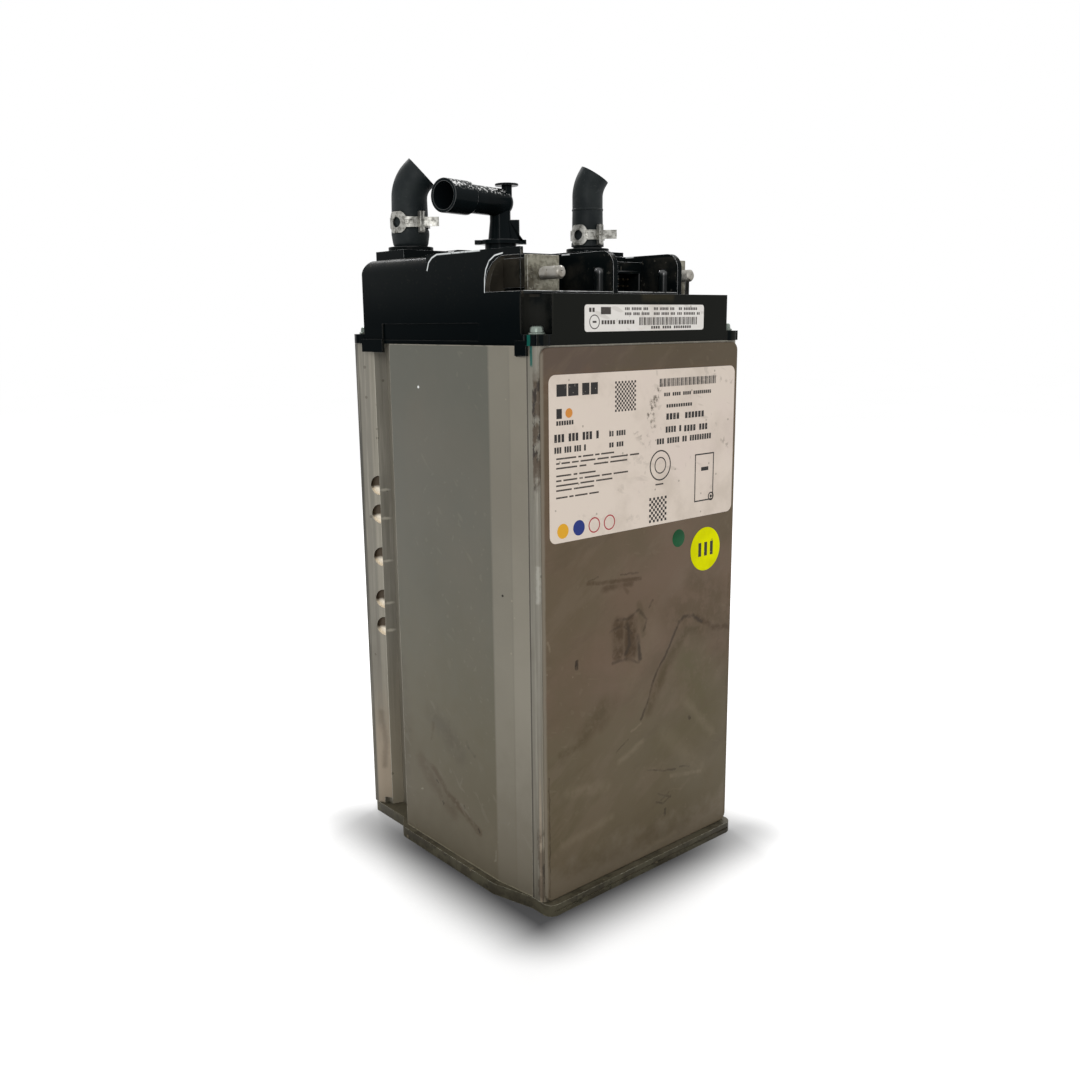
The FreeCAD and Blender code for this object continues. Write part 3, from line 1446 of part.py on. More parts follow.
def check_and_write():
    """Stop at any failed object or bad shape, then write every piece."""
    document.recompute()
    for thing in document.Objects:
        if {"Invalid", "Error"} & set(thing.State):
            raise ValueError(f"{thing.Name} failed: {thing.State}")
    for thing in pieces:
        if thing.Shape.isNull() or not thing.Shape.isValid():
            raise ValueError(f"{thing.Label} has no valid shape")
    os.makedirs("parts", exist_ok=True)
    for thing in pieces:
        thing.Shape.exportStep(f"parts/{thing.Label}.step")
        print(f"{thing.Label}: {len(thing.Shape.Solids)} solids, {thing.Shape.Volume / 1000:.1f} cm3")


make_base_plate()
make_housing()
make_side_plates()
make_front_plate()
make_corner_screws()
make_seal()
make_cover()
make_terminals()
make_connector()
make_spigots()
make_hoses()
make_coolant_pipes()
make_clamps()
make_vent()
make_labels()
make_cells()
make_end_plates()
make_cooling()
make_power_parts()
make_risers()
make_control_board()
check_and_write()
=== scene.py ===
"""Looks of a mild hybrid battery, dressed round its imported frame."""
import json
import math

import bmesh
import bpy
from bpy.props import FloatProperty, FloatVectorProperty, IntProperty, PointerProperty
from mathutils import Matrix, Vector


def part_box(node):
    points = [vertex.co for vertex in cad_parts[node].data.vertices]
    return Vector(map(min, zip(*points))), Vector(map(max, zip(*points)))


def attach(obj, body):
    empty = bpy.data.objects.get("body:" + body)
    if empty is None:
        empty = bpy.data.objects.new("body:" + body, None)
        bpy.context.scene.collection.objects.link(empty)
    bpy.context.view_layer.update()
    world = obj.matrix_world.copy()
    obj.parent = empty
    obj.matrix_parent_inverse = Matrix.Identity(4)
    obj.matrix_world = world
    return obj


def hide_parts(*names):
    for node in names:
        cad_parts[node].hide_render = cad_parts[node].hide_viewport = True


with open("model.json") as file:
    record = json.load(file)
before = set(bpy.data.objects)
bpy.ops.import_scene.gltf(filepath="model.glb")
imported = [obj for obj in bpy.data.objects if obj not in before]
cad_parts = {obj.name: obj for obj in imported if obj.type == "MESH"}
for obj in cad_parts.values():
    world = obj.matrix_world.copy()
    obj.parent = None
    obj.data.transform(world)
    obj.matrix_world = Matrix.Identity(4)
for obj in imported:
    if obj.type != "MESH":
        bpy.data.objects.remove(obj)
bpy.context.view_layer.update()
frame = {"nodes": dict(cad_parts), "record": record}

bl_info = {
    "name": "Mild hybrid battery",
    "version": (1, 0, 0),
    "blender": (4, 5, 0),
    "location": "View3D > Sidebar > Battery",
    "description": "Dresses the packed frame of a mild hybrid battery in pieces and worn finishes",
    "category": "Object",
}

MM = 0.001
BODY = "root"

# How a copy of a node is cleaned and shaded
WELD = 0.005 * MM
FLAT = math.radians(0.4)
CORNER = math.radians(33)
SMOOTH = math.radians(29)
EDGE_MARK = "edge"
FULL_TURN = 2 * math.pi

# Directions
ZERO = (0.0, 0.0, 0.0)
ALONG_X = (1.0, 0.0, 0.0)
ALONG_Y = (0.0, 1.0, 0.0)
UP = (0.0, 0.0, 1.0)
LEFT = (-1.0, 0.0, 0.0)
FRONT = (0.0, -1.0, 0.0)


def srgb(red, green, blue):
    """A colour in steps of 0 to 255, as the linear values that a shader takes."""
    def linear(step):
        share = step / 255
        return share / 12.92 if share <= 0.04045 else ((share + 0.055) / 1.055) ** 2.4
    return (linear(red), linear(green), linear(blue), 1.0)


def mm(*sizes):
    """A place or a size in millimetres, as a vector in metres."""
    return Vector(sizes) * MM


def colour_property(name, description, steps):
    return FloatVectorProperty(
        name=name, description=description, subtype="COLOR", size=4, min=0, max=1, default=srgb(*steps),
    )


def length_property(name, description, millimetres):
    return FloatProperty(
        name=name, description=description, unit="LENGTH", subtype="DISTANCE", min=0,
        default=millimetres * MM, precision=5,
    )


def power_property(name, description, watts):
    return FloatProperty(name=name, description=description, unit="POWER", min=0, default=watts)


class StageSettings(bpy.types.PropertyGroup):
    """Camera, lamps and floor."""
    lens: FloatProperty(name="Lens", description="Focal length in millimetres", default=34.813)
    sensor: FloatProperty(name="Sensor", description="Sensor width in millimetres", default=36.0)
    place: FloatVectorProperty(
        name="Camera place", description="Where the camera stands", subtype="TRANSLATION",
        default=(-0.4961, -0.5760, 0.3821),
    )
    heading: FloatProperty(
        name="Heading", description="Turn from the +Y axis towards +X", subtype="ANGLE",
        default=math.radians(40.534),
    )
    pitch: FloatProperty(
        name="Pitch", description="Tilt above the horizon", subtype="ANGLE",
        default=math.radians(-11.819),
    )
    roll: FloatProperty(
        name="Roll", description="Turn about the line of sight", subtype="ANGLE",
        default=math.radians(-0.614),
    )
    room_light: FloatProperty(name="Room light", description="Strength of the even light", default=0.88)
    left_watts: power_property("Left edge lamp", "Lights the edges of the left side", 7.0)
    right_watts: power_property("Front edge lamp", "Lights the edges of the front", 7.0)
    front_watts: power_property("Front lamp", "Lights the left side from the front", 3.6)
    floor_colour: colour_property("Floor", "Colour of the floor", (236, 236, 236))
    floor_lift: FloatProperty(
        name="Floor lift", description="White that the camera sees added to the floor", default=0.42,
    )
    shadow_reach: length_property("Shadow reach", "Width of the dark foot of the shadow", 54)


class CaseSettings(bpy.types.PropertyGroup):
    """Finishes of the case and its plates."""
    rounding: length_property("Edge rounding", "Width of the broken edges", 0.45)
    rail: colour_property("Rail", "Bare aluminium of the rails and corners", (124, 120, 108))
    side: colour_property("Side", "Grey of the side plates", (95, 95, 86))
    band: colour_property("Band", "Lighter band beside the near corner", (136, 131, 118))
    front: colour_property("Front", "Brown of the front plate", (100, 81, 65))
    soil: colour_property("Soil", "Dirt towards the foot", (88, 80, 64))
    base: colour_property("Base", "Coating of the base plate", (57, 52, 39))


class CoverSettings(bpy.types.PropertyGroup):
    """Finish of the cover and the vent."""
    rounding: length_property("Edge rounding", "Width of the soft edges of the moulding", 0.8)
    black: colour_property("Black", "Moulded plastic", (13, 18, 19))
    dust: colour_property("Dust", "Dust in the bays", (104, 94, 78))


class StudSettings(bpy.types.PropertyGroup):
    """Threads of the terminal studs."""
    pitch: length_property("Thread pitch", "Length of one turn", 1.25)
    depth: length_property("Thread depth", "Depth of the groove", 0.6)
    bevel: length_property("End bevel", "Bevel at the tip", 0.8)


class HoseSettings(bpy.types.PropertyGroup):
    """Hose stubs and their clamps."""
    rubber: colour_property("Rubber", "Colour of the hoses", (18, 25, 27))
    ring: length_property("Ring", "Height of the moulded ring", 0.35)
    steel: colour_property("Steel", "Colour of the clamps", (168, 167, 161))


class PrintSettings(bpy.types.PropertyGroup):
    """Labels and what is printed on them."""
    film: colour_property("Film", "Colour of the large label", (226, 212, 198))
    small_film: colour_property("Small film", "Colour of the small label", (236, 232, 226))
    ink: colour_property("Ink", "Colour of the print", (30, 27, 25))
    ink_height: length_property("Ink height", "How far the print stands proud", 0.04)
    cells: IntProperty(name="Code cells", description="Squares along a code", default=13, min=3)


def settings(word):
    return getattr(bpy.context.scene, f"battery_{word}")


# Shader nodes

def add_node(tree, kind, inputs=None, **fields):
    """A node with its fields set and its inputs linked or given values."""
    made = tree.nodes.new(kind)
    for field, value in fields.items():
        setattr(made, field, value)
    for key, value in (inputs or {}).items():
        if isinstance(value, bpy.types.NodeSocket):
            tree.links.new(value, made.inputs[key])
        else:
            made.inputs[key].default_value = value
    return made


def sum_up(tree, operation, first, second=0.0, clamp=False):
    return add_node(
        tree, "ShaderNodeMath", {0: first, 1: second}, operation=operation, use_clamp=clamp,
    ).outputs[0]


def vectors(tree, operation, first, second=ZERO, third=None):
    """One step of vector arithmetic that gives a vector."""
    inputs = {0: first, 1: second} if third is None else {0: first, 1: second, 2: third}
    return add_node(tree, "ShaderNodeVectorMath", inputs, operation=operation).outputs["Vector"]


def measure(tree, operation, first, second=ZERO):
    """One number from vectors, such as a dot product or a length."""
    return add_node(
        tree, "ShaderNodeVectorMath", {0: first, 1: second}, operation=operation,
    ).outputs["Value"]


def turned_places(tree, vector, turn):
    return add_node(
        tree, "ShaderNodeVectorRotate", {"Vector": vector, "Rotation": turn}, rotation_type="EULER_XYZ",
    ).outputs["Vector"]


def spread(tree, value, low, high, start=0.0, end=1.0):
    """A smooth step of a value between two levels."""
    return add_node(
        tree, "ShaderNodeMapRange",
        {"Value": value, "From Min": low, "From Max": high, "To Min": start, "To Max": end},
        interpolation_type="SMOOTHSTEP",
    ).outputs["Result"]


def noise(tree, vector, scale, detail=4.0, roughness=0.55):
    return add_node(
        tree, "ShaderNodeTexNoise",
        {"Vector": vector, "Scale": scale, "Detail": detail, "Roughness": roughness},
    ).outputs["Fac"]


def mix_colours(tree, mask, under, over):
    return add_node(
        tree, "ShaderNodeMix", {0: mask, 6: under, 7: over}, data_type="RGBA",
    ).outputs[2]


def start_group(name, inputs, output="Mask"):
    """An empty node group that takes places and other named inputs and gives one output."""
    group = bpy.data.node_groups.new(name, "ShaderNodeTree")
    for label, value in {"Vector": ZERO, **inputs}.items():
        kind = "NodeSocketVector" if isinstance(value, tuple) else "NodeSocketFloat"
        socket = group.interface.new_socket(name=label, in_out="INPUT", socket_type=kind)
        socket.default_value = value
    group.interface.new_socket(name=output, in_out="OUTPUT", socket_type="NodeSocketFloat")
    given = group.nodes.new("NodeGroupInput").outputs
    return group, given, group.nodes.new("NodeGroupOutput").inputs


def close_group(group, result, ends):
    group.links.new(result, ends[0])
    return group


def clouds_group(name):
    """Soft uneven patches."""
    group, given, ends = start_group(name, {"Scale": 20.0, "Low": 0.4, "High": 0.65})
    value = noise(group, given["Vector"], given["Scale"], 6.0, 0.6)
    return close_group(group, spread(group, value, given["Low"], given["High"]), ends)


def wear_group(name):
    """Rubbed places along the edges that the bevels marked."""
    group, given, ends = start_group(name, {"Scale": 120.0, "Amount": 0.5})
    mark = add_node(group, "ShaderNodeAttribute", attribute_name=EDGE_MARK, attribute_type="GEOMETRY")
    value = noise(group, given["Vector"], given["Scale"], 5.0, 0.65)
    start = sum_up(group, "SUBTRACT", 0.8, given["Amount"])
    rubbed = spread(group, sum_up(group, "SUBTRACT", value, start), 0.0, 0.18)
    return close_group(group, sum_up(group, "MULTIPLY", mark.outputs["Fac"], rubbed, True), ends)


def dust_group(name):
    """Dust that lies on what faces up, and a thin film elsewhere."""
    group, given, ends = start_group(name, {"Scale": 60.0, "Top": 0.6, "Film": 0.1})
    normal = add_node(group, "ShaderNodeNewGeometry").outputs["Normal"]
    upward = add_node(group, "ShaderNodeSeparateXYZ", {0: normal}).outputs["Z"]
    lying = spread(group, upward, 0.35, 0.95)
    patches = spread(group, noise(group, given["Vector"], given["Scale"], 6.0, 0.65), 0.38, 0.66)
    top = sum_up(group, "MULTIPLY", sum_up(group, "MULTIPLY", lying, patches), given["Top"])
    film = sum_up(group, "MULTIPLY", patches, given["Film"])
    return close_group(group, sum_up(group, "ADD", top, film, True), ends)


def scratches_group(name):
    """Thin straight scratches in two directions."""
    group, given, ends = start_group(name, {"Scale": 40.0, "Amount": 0.3})
    kinds = (((0.9, 0.3, 0.5), (7.0, 7.0, 0.5)), ((-0.7, 1.2, -0.4), (9.0, 9.0, 0.6)))
    lines = []
    for turn, stretch in kinds:
        drawn = vectors(group, "MULTIPLY", turned_places(group, given["Vector"], turn), stretch)
        lines.append(spread(group, noise(group, drawn, given["Scale"], 1.0, 0.4), 0.68, 0.74))
    both = sum_up(group, "MAXIMUM", lines[0], lines[1])
    wide = sum_up(group, "MULTIPLY", given["Scale"], 0.6)
    broken = spread(group, noise(group, given["Vector"], wide, 3.0), 0.46, 0.56)
    seen = sum_up(group, "MULTIPLY", both, broken)
    return close_group(group, sum_up(group, "MULTIPLY", seen, given["Amount"], True), ends)


def specks_group(name):
    """Small separate dots."""
    group, given, ends = start_group(name, {"Scale": 150.0, "Size": 0.25, "Amount": 0.2})
    cells = add_node(group, "ShaderNodeTexVoronoi", {"Vector": given["Vector"], "Scale": given["Scale"]})
    near = sum_up(group, "LESS_THAN", cells.outputs["Distance"], given["Size"])
    shade = add_node(group, "ShaderNodeSeparateColor", {0: cells.outputs["Color"]}).outputs["Red"]
    chosen = sum_up(group, "LESS_THAN", shade, given["Amount"])
    return close_group(group, sum_up(group, "MULTIPLY", near, chosen), ends)


def span_group(name):
    """A stretch between two levels along a direction, with soft or ragged ends."""
    group, given, ends = start_group(
        name, {"Direction": UP, "Start": 0.0, "End": 1.0, "Soft": 0.002, "Ragged": 0.0},
    )
    along = measure(group, "DOT_PRODUCT", given["Vector"], given["Direction"])
    shift = sum_up(group, "SUBTRACT", noise(group, given["Vector"], 90.0, 4.0), 0.5)
    level = sum_up(group, "ADD", along, sum_up(group, "MULTIPLY", shift, given["Ragged"]))
    edges = []
    for end in ("Start", "End"):
        low = sum_up(group, "SUBTRACT", given[end], given["Soft"])
        high = sum_up(group, "ADD", given[end], given["Soft"])
        edges.append(spread(group, level, low, high))
    return close_group(group, sum_up(group, "SUBTRACT", edges[0], edges[1], True), ends)


def smear_group(name):
    """An oval mark at a place on a face."""
    group, given, ends = start_group(
        name, {"Place": ZERO, "Turn": ZERO, "Reach": (1.0, 1.0, 1.0), "Soft": 0.5},
    )
    moved = vectors(group, "SUBTRACT", given["Vector"], given["Place"])
    share = vectors(group, "DIVIDE", turned_places(group, moved, given["Turn"]), given["Reach"])
    distance = measure(group, "LENGTH", share)
    inner = sum_up(group, "SUBTRACT", 1.0, given["Soft"])
    return close_group(group, spread(group, distance, inner, 1.0, 1.0, 0.0), ends)


def streak_group(name):
    """A straight mark, round at its ends, measured in its own half widths."""
    group, given, ends = start_group(name, {
        "Along": UP, "Across": ALONG_X, "Middle": 0.0, "Offset": 0.0, "Half": 1.0, "Soft": 0.5,
    })

    def distance_from(start, direction):
        level = measure(group, "DOT_PRODUCT", given["Vector"], given[direction])
        return sum_up(group, "SUBTRACT", level, given[start])

    def squared(value):
        return sum_up(group, "MULTIPLY", value, value)

    along = sum_up(group, "ABSOLUTE", distance_from("Middle", "Along"))
    past = sum_up(group, "MAXIMUM", sum_up(group, "SUBTRACT", along, given["Half"]), 0.0)
    away = sum_up(group, "ADD", squared(past), squared(distance_from("Offset", "Across")))
    inner = sum_up(group, "SUBTRACT", 1.0, given["Soft"])
    return close_group(group, spread(group, sum_up(group, "SQRT", away), inner, 1.0, 1.0, 0.0), ends)


def facing_group(name):
    """What faces a direction."""
    group, given, ends = start_group(name, {"Direction": UP, "Low": 0.96, "High": 0.985})
    normal = add_node(group, "ShaderNodeNewGeometry").outputs["Normal"]
    along = measure(group, "DOT_PRODUCT", normal, given["Direction"])
    return close_group(group, spread(group, along, given["Low"], given["High"]), ends)


def grain_group(name):
    """Fine unevenness for a bump."""
    group, given, ends = start_group(name, {"Scale": 900.0, "Coarse": 0.3}, "Height")
    fine = noise(group, given["Vector"], given["Scale"], 3.0, 0.6)
    wide = noise(group, given["Vector"], sum_up(group, "MULTIPLY", given["Scale"], 0.06), 3.0, 0.5)
    height = sum_up(group, "ADD", fine, sum_up(group, "MULTIPLY", wide, given["Coarse"]))
    return close_group(group, height, ends)


EFFECTS = {
    "clouds": clouds_group, "wear": wear_group, "dust": dust_group, "scratches": scratches_group,
    "specks": specks_group, "span": span_group, "smear": smear_group, "streak": streak_group,
    "facing": facing_group, "grain": grain_group,
}


class Finish:
    """A material under construction: colours over each other, then gloss and unevenness."""

    def __init__(self, name, colour, roughness, metallic=0.0, specular=0.5):
        self.material = bpy.data.materials.new(name)
        self.material.use_nodes = True
        self.tree = self.material.node_tree
        self.tree.nodes.clear()
        self.place = add_node(self.tree, "ShaderNodeTexCoord").outputs["Object"]
        self.shader = add_node(self.tree, "ShaderNodeBsdfPrincipled", {
            "Base Color": colour, "Roughness": roughness, "Metallic": metallic,
            "Specular IOR Level": specular,
        })
        output = self.tree.nodes.new("ShaderNodeOutputMaterial")
        self.tree.links.new(self.shader.outputs["BSDF"], output.inputs["Surface"])

    def mask(self, word, strength=1.0, vector=None, **values):
        """A shared group placed here with its own values. A span's levels are millimetres."""
        name = f"battery_{word}"
        group = bpy.data.node_groups.get(name) or EFFECTS[word](name)
        unit = MM if word == "span" else 1.0
        inputs = {
            label.capitalize(): value * unit if isinstance(value, (int, float)) else value
            for label, value in values.items()
        }
        inputs["Vector"] = vector or self.place
        result = add_node(self.tree, "ShaderNodeGroup", inputs, node_tree=group).outputs[0]
        return result if strength == 1.0 else sum_up(self.tree, "MULTIPLY", result, strength)

    def wobble(self, reach, scale=70.0):
        """Places shifted unevenly, so that a mark laid with them has a ragged outline."""
        shift = add_node(self.tree, "ShaderNodeTexNoise", {
            "Vector": self.place, "Scale": scale, "Detail": 5.0, "Roughness": 0.62,
        }).outputs["Color"]
        middle = vectors(self.tree, "SUBTRACT", shift, (0.5, 0.5, 0.5))
        return vectors(self.tree, "MULTIPLY_ADD", middle, [reach * MM] * 3, self.place)

    def scaled(self, *shares, turn=ZERO, vector=None):
        """Places turned and then scaled along each axis, so that a pattern runs in one direction."""
        return vectors(self.tree, "MULTIPLY", turned_places(self.tree, vector or self.place, turn), shares)

    def flat(self, face, vector=None):
        """Places pressed flat onto the front or onto a side."""
        return self.scaled(*((1, 0, 1) if face == "front" else (0, 1, 1)), vector=vector)

    def trail(self, face, places, width, strength=1.0, soft=0.7, flat=None):
        """A mark along a row of places on the front or on a side, in millimetres."""
        flat = flat or self.flat(face)
        half_width = width * MM
        result = None
        for begin, end in zip(places, places[1:]):
            first, second = (mm(x, 0, z) if face == "front" else mm(0, x, z) for x, z in (begin, end))
            line = (second - first).normalized()
            side = Vector((-line.z, 0, line.x)) if face == "front" else Vector((0, -line.z, line.y))
            middle = (first + second) / 2
            part = self.mask(
                "streak", 1.0, flat, along=line / half_width, across=side / half_width,
                middle=middle.dot(line) / half_width, offset=middle.dot(side) / half_width,
                half=(second - first).length / 2 / half_width, soft=soft,
            )
            result = self.either(result, part)
        return self.both(result, strength)

    def marks(self, face, table, vector, broken):
        """Paints a table of trails, tone after tone, thinned where a mask is low."""
        flat = self.flat(face, vector)
        for tone, steps in MARK_TONES.items():
            result = None
            for kind, strength, width, soft, places in table:
                if kind != tone:
                    continue
                result = self.either(result, self.trail(face, places, width, strength, soft, flat))
            if result is not None:
                self.paint(srgb(*steps), self.both(result, broken))

    def both(self, first, second):
        return sum_up(self.tree, "MULTIPLY", first, second)

    def either(self, first, second):
        return second if first is None else sum_up(self.tree, "MAXIMUM", first, second)

    def layer(self, socket, over, mask):
        """Lays a colour or a value over what a socket of the shader has so far."""
        target = self.shader.inputs[socket]
        under = target.links[0].from_socket if target.is_linked else target.default_value
        if socket == "Base Color":
            under = under if target.is_linked else tuple(under)
            result = mix_colours(self.tree, mask, under, over)
        else:
            result = add_node(
                self.tree, "ShaderNodeMix", {0: mask, 2: under, 3: over}, data_type="FLOAT",
            ).outputs[0]
        self.tree.links.new(result, target)

    def paint(self, colour, mask):
        self.layer("Base Color", colour, mask)

    def coat(self, colour, word, strength=1.0, vector=None, within=None, **values):
        """Paints where a shared mask lies, and where given only inside another mask."""
        mask = self.mask(word, strength, vector, **values)
        self.paint(colour, mask if within is None else self.both(within, mask))

    def roughen(self, roughness, word, strength=1.0, **values):
        """Gives what a shared mask covers a gloss of its own."""
        self.layer("Roughness", roughness, self.mask(word, strength, **values))

    def bump(self, height, distance, strength=1.0):
        """Unevenness of a given depth in millimetres, on top of what is there."""
        target = self.shader.inputs["Normal"]
        inputs = {"Height": height, "Distance": distance * MM, "Strength": strength}
        if target.is_linked:
            inputs["Normal"] = target.links[0].from_socket
        result = add_node(self.tree, "ShaderNodeBump", inputs).outputs["Normal"]
        self.tree.links.new(result, target)

    def grained(self, scale, depth, strength, coarse=0.3):
        """The finished material, with fine unevenness on top."""
        self.bump(self.mask("grain", scale=scale, coarse=coarse), depth, strength)
        return self.material


# Meshes

def merged_copy(node):
    """A copy of a node's mesh with its loose triangles joined into whole faces."""
    mesh = bmesh.new()
    mesh.from_mesh(frame["nodes"][node].data)
    bmesh.ops.remove_doubles(mesh, verts=mesh.verts, dist=WELD)
    bmesh.ops.dissolve_limit(
        mesh, angle_limit=FLAT, use_dissolve_boundaries=False, verts=mesh.verts, edges=mesh.edges,
    )
    return mesh


def break_edges(mesh, width, segments=2, chosen=None, worn=1.0):
    """Bevels the outer edges and marks the new faces, so that a finish can wear them."""
    mark = mesh.faces.layers.float.get(EDGE_MARK) or mesh.faces.layers.float.new(EDGE_MARK)
    edges = [
        edge for edge in mesh.edges
        if len(edge.link_faces) == 2 and edge.calc_face_angle_signed(0) > CORNER
        and (chosen is None or chosen(edge))
    ]
    result = bmesh.ops.bevel(
        mesh, geom=edges, offset=width, offset_type="OFFSET", affect="EDGES", segments=segments,
        profile=0.5, material=-1, clamp_overlap=True, loop_slide=True,
    )
    for face in result["faces"]:
        face[mark] = worn


def shade(mesh):
    """Smooth curves, flat faces and crisp corners."""
    mark = mesh.faces.layers.float.get(EDGE_MARK)
    for face in mesh.faces:
        face.smooth = True
    for edge in mesh.edges:
        if len(edge.link_faces) != 2:
            edge.smooth = False
            continue
        first, second = edge.link_faces
        bevel_side = mark is not None and first[mark] != second[mark]
        edge.smooth = edge.calc_face_angle(0) < SMOOTH and not bevel_side


def add_piece(mesh, name, finish, replaced=()):
    """Makes an object of a mesh, gives it its finish and ties it to the frame."""
    shade(mesh)
    data = bpy.data.meshes.new(name)
    mesh.to_mesh(data)
    mesh.free()
    data.materials.append(finish)
    thing = bpy.data.objects.new(name, data)
    bpy.context.scene.collection.objects.link(thing)
    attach(thing, BODY)
    if replaced:
        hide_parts(*replaced)


def dress_node(node, name, finish, width, segments=2):
    """A node's own shape with broken edges, in its place."""
    mesh = merged_copy(node)
    break_edges(mesh, width, segments)
    add_piece(mesh, name, finish, (node,))


def add_box(mesh, low, high):
    """A box between two corners."""
    size = high - low
    place = Matrix.Translation((low + high) / 2) @ Matrix.Diagonal((*size, 1))
    bmesh.ops.create_cube(mesh, size=1, matrix=place)


def in_metres(pairs):
    return [(first * MM, second * MM) for first, second in pairs]


def touching(items, verts):
    """The edges or faces that touch some vertices, in the mesh's own order."""
    chosen = set(verts)
    return [item for item in items if not chosen.isdisjoint(item.verts)]


def lathe(mesh, profile, matrix, steps=48, closed=False):
    """Turns a profile of (radius, height) round the upright axis and puts it in place."""
    dots = [mesh.verts.new((radius, 0, height)) for radius, height in profile]
    pairs = list(zip(dots, dots[1:])) + ([(dots[-1], dots[0])] if closed else [])
    chain = [mesh.edges.new(pair) for pair in pairs]
    before = set(mesh.verts) - set(dots)
    bmesh.ops.spin(
        mesh, geom=dots + chain, cent=(0, 0, 0), axis=(0, 0, 1), dvec=(0, 0, 0), angle=FULL_TURN,
        steps=steps, use_merge=True,
    )
    made = [vert for vert in mesh.verts if vert not in before]
    bmesh.ops.remove_doubles(mesh, verts=made, dist=WELD / 10)
    made = [vert for vert in mesh.verts if vert not in before]
    bmesh.ops.recalc_face_normals(mesh, faces=touching(mesh.faces, made))
    bmesh.ops.transform(mesh, matrix=matrix, verts=made)


def facing_front(place):
    """Puts the upright axis along -Y."""
    return Matrix.Translation(place) @ Matrix.Rotation(math.radians(90), 4, "X")


# Finishes, with their places and levels in millimetres

# Outward and lengthwise directions of the rear rails' faces, and the outward one of their chamfers
RAIL_NORMAL = (-0.875, -0.4843, 0.0)
RAIL_ALONG = (0.4843, -0.875, 0.0)
INNER_NORMAL = (-0.34, -0.9404, 0.0)
NOTCH_LEVELS = (263.8, 242.2, 209.3, 176.4, 154.8)
GREEN_PAINT = srgb(20, 84, 74)
CASE_SEAMS_AND_EDGE_HIGHLIGHT = (
    # start and end along the side, colour and strength; the pale line is a painted highlight along the edge
    # beside the rear seam
    (-94.2, -92.8, (56, 50, 40), 0.85), (55.6, 56.8, (52, 48, 40), 0.8),
    (56.8, 57.8, (176, 170, 154), 0.6),
)
CRUSTS = (
    # foot, top and strength of the dirt that clings to the near corner
    (286, 353, 0.9), (8, 62, 0.65),
)
GREEN_SEAM = {"direction": ALONG_Y, "start": -98.5, "end": -96.2, "soft": 0.3, "ragged": 1.2}

SIDE_DOTS = (
    # place along and up the side, radius and colour
    (15.2, 339.8, 1.0, (250, 250, 248)), (-70.2, 211, 0.9, (40, 34, 26)),
)
SIDE_BANDS = (
    # start and end along the side, share of the lighter tone
    (-78.5, -61.5, 0.75), (-94.5, -78.5, 1.0), (53.6, 56.5, 0.4),
)
MARK_TONES = {
    "olive": (88, 79, 54), "light": (128, 115, 94), "shade": (78, 65, 43), "smudge": (72, 66, 54),
    "brown": (69, 52, 32), "pale": (140, 134, 118), "dark": (48, 37, 24),
}
SIDE_MARKS = (
    # tone, strength, half width and softness, then the places that it joins
    ("smudge", 0.45, 15, 1.0, ((10, 108), (-10, 96), (-20, 88))),
    ("smudge", 0.5, 8, 0.8, ((-6, 101), (-16, 90))),
    ("brown", 0.35, 2.2, 0.8, ((11, 102), (13, 89))), ("smudge", 0.5, 2.6, 0.8, ((-8, 108), (-11, 100))),
    ("smudge", 0.6, 2.0, 0.7, ((-29, 98), (-37, 92))), ("smudge", 0.4, 4, 0.9, ((41, 87), (43, 86))),
    ("brown", 0.45, 11, 1.0, ((27, 67), (14, 56), (-10, 42))),
    ("brown", 0.6, 3.6, 0.8, ((23, 70), (8, 64), (-4, 53))),
    ("brown", 0.65, 4.2, 0.8, ((-2, 54), (-21, 46), (-41, 37))),
    ("dark", 0.7, 0.9, 0.4, ((8, 58), (7, 57))),
    ("dark", 0.8, 1.1, 0.4, ((2, 44), (1, 43))), ("dark", 0.8, 1.0, 0.4, ((-40, 38), (-41, 37))),
    ("dark", 0.6, 0.9, 0.4, ((-24, 50), (-26, 49))), ("pale", 0.6, 0.9, 0.4, ((27, 46), (28, 45))),
    ("pale", 0.5, 0.9, 0.6, ((-60, 30), (-58, 22))),
    ("smudge", 0.3, 12, 1.0, ((50, 140), (46, 90), (52, 30))),
)
FAR_SIDE_MARKS = (
    ("smudge", 0.4, 14, 1.0, ((-40, 120), (-10, 96), (12, 100))),
    ("brown", 0.4, 7, 0.9, ((20, 60), (-16, 44))),
    ("brown", 0.5, 1.4, 0.7, ((-60, 210), (-44, 190), (-40, 168))),
    ("dark", 0.6, 1.0, 0.4, ((30, 250), (31, 249))),
    ("pale", 0.5, 0.9, 0.6, ((4, 300), (18, 284))), ("smudge", 0.35, 10, 1.0, ((-70, 60), (-66, 20))),
)
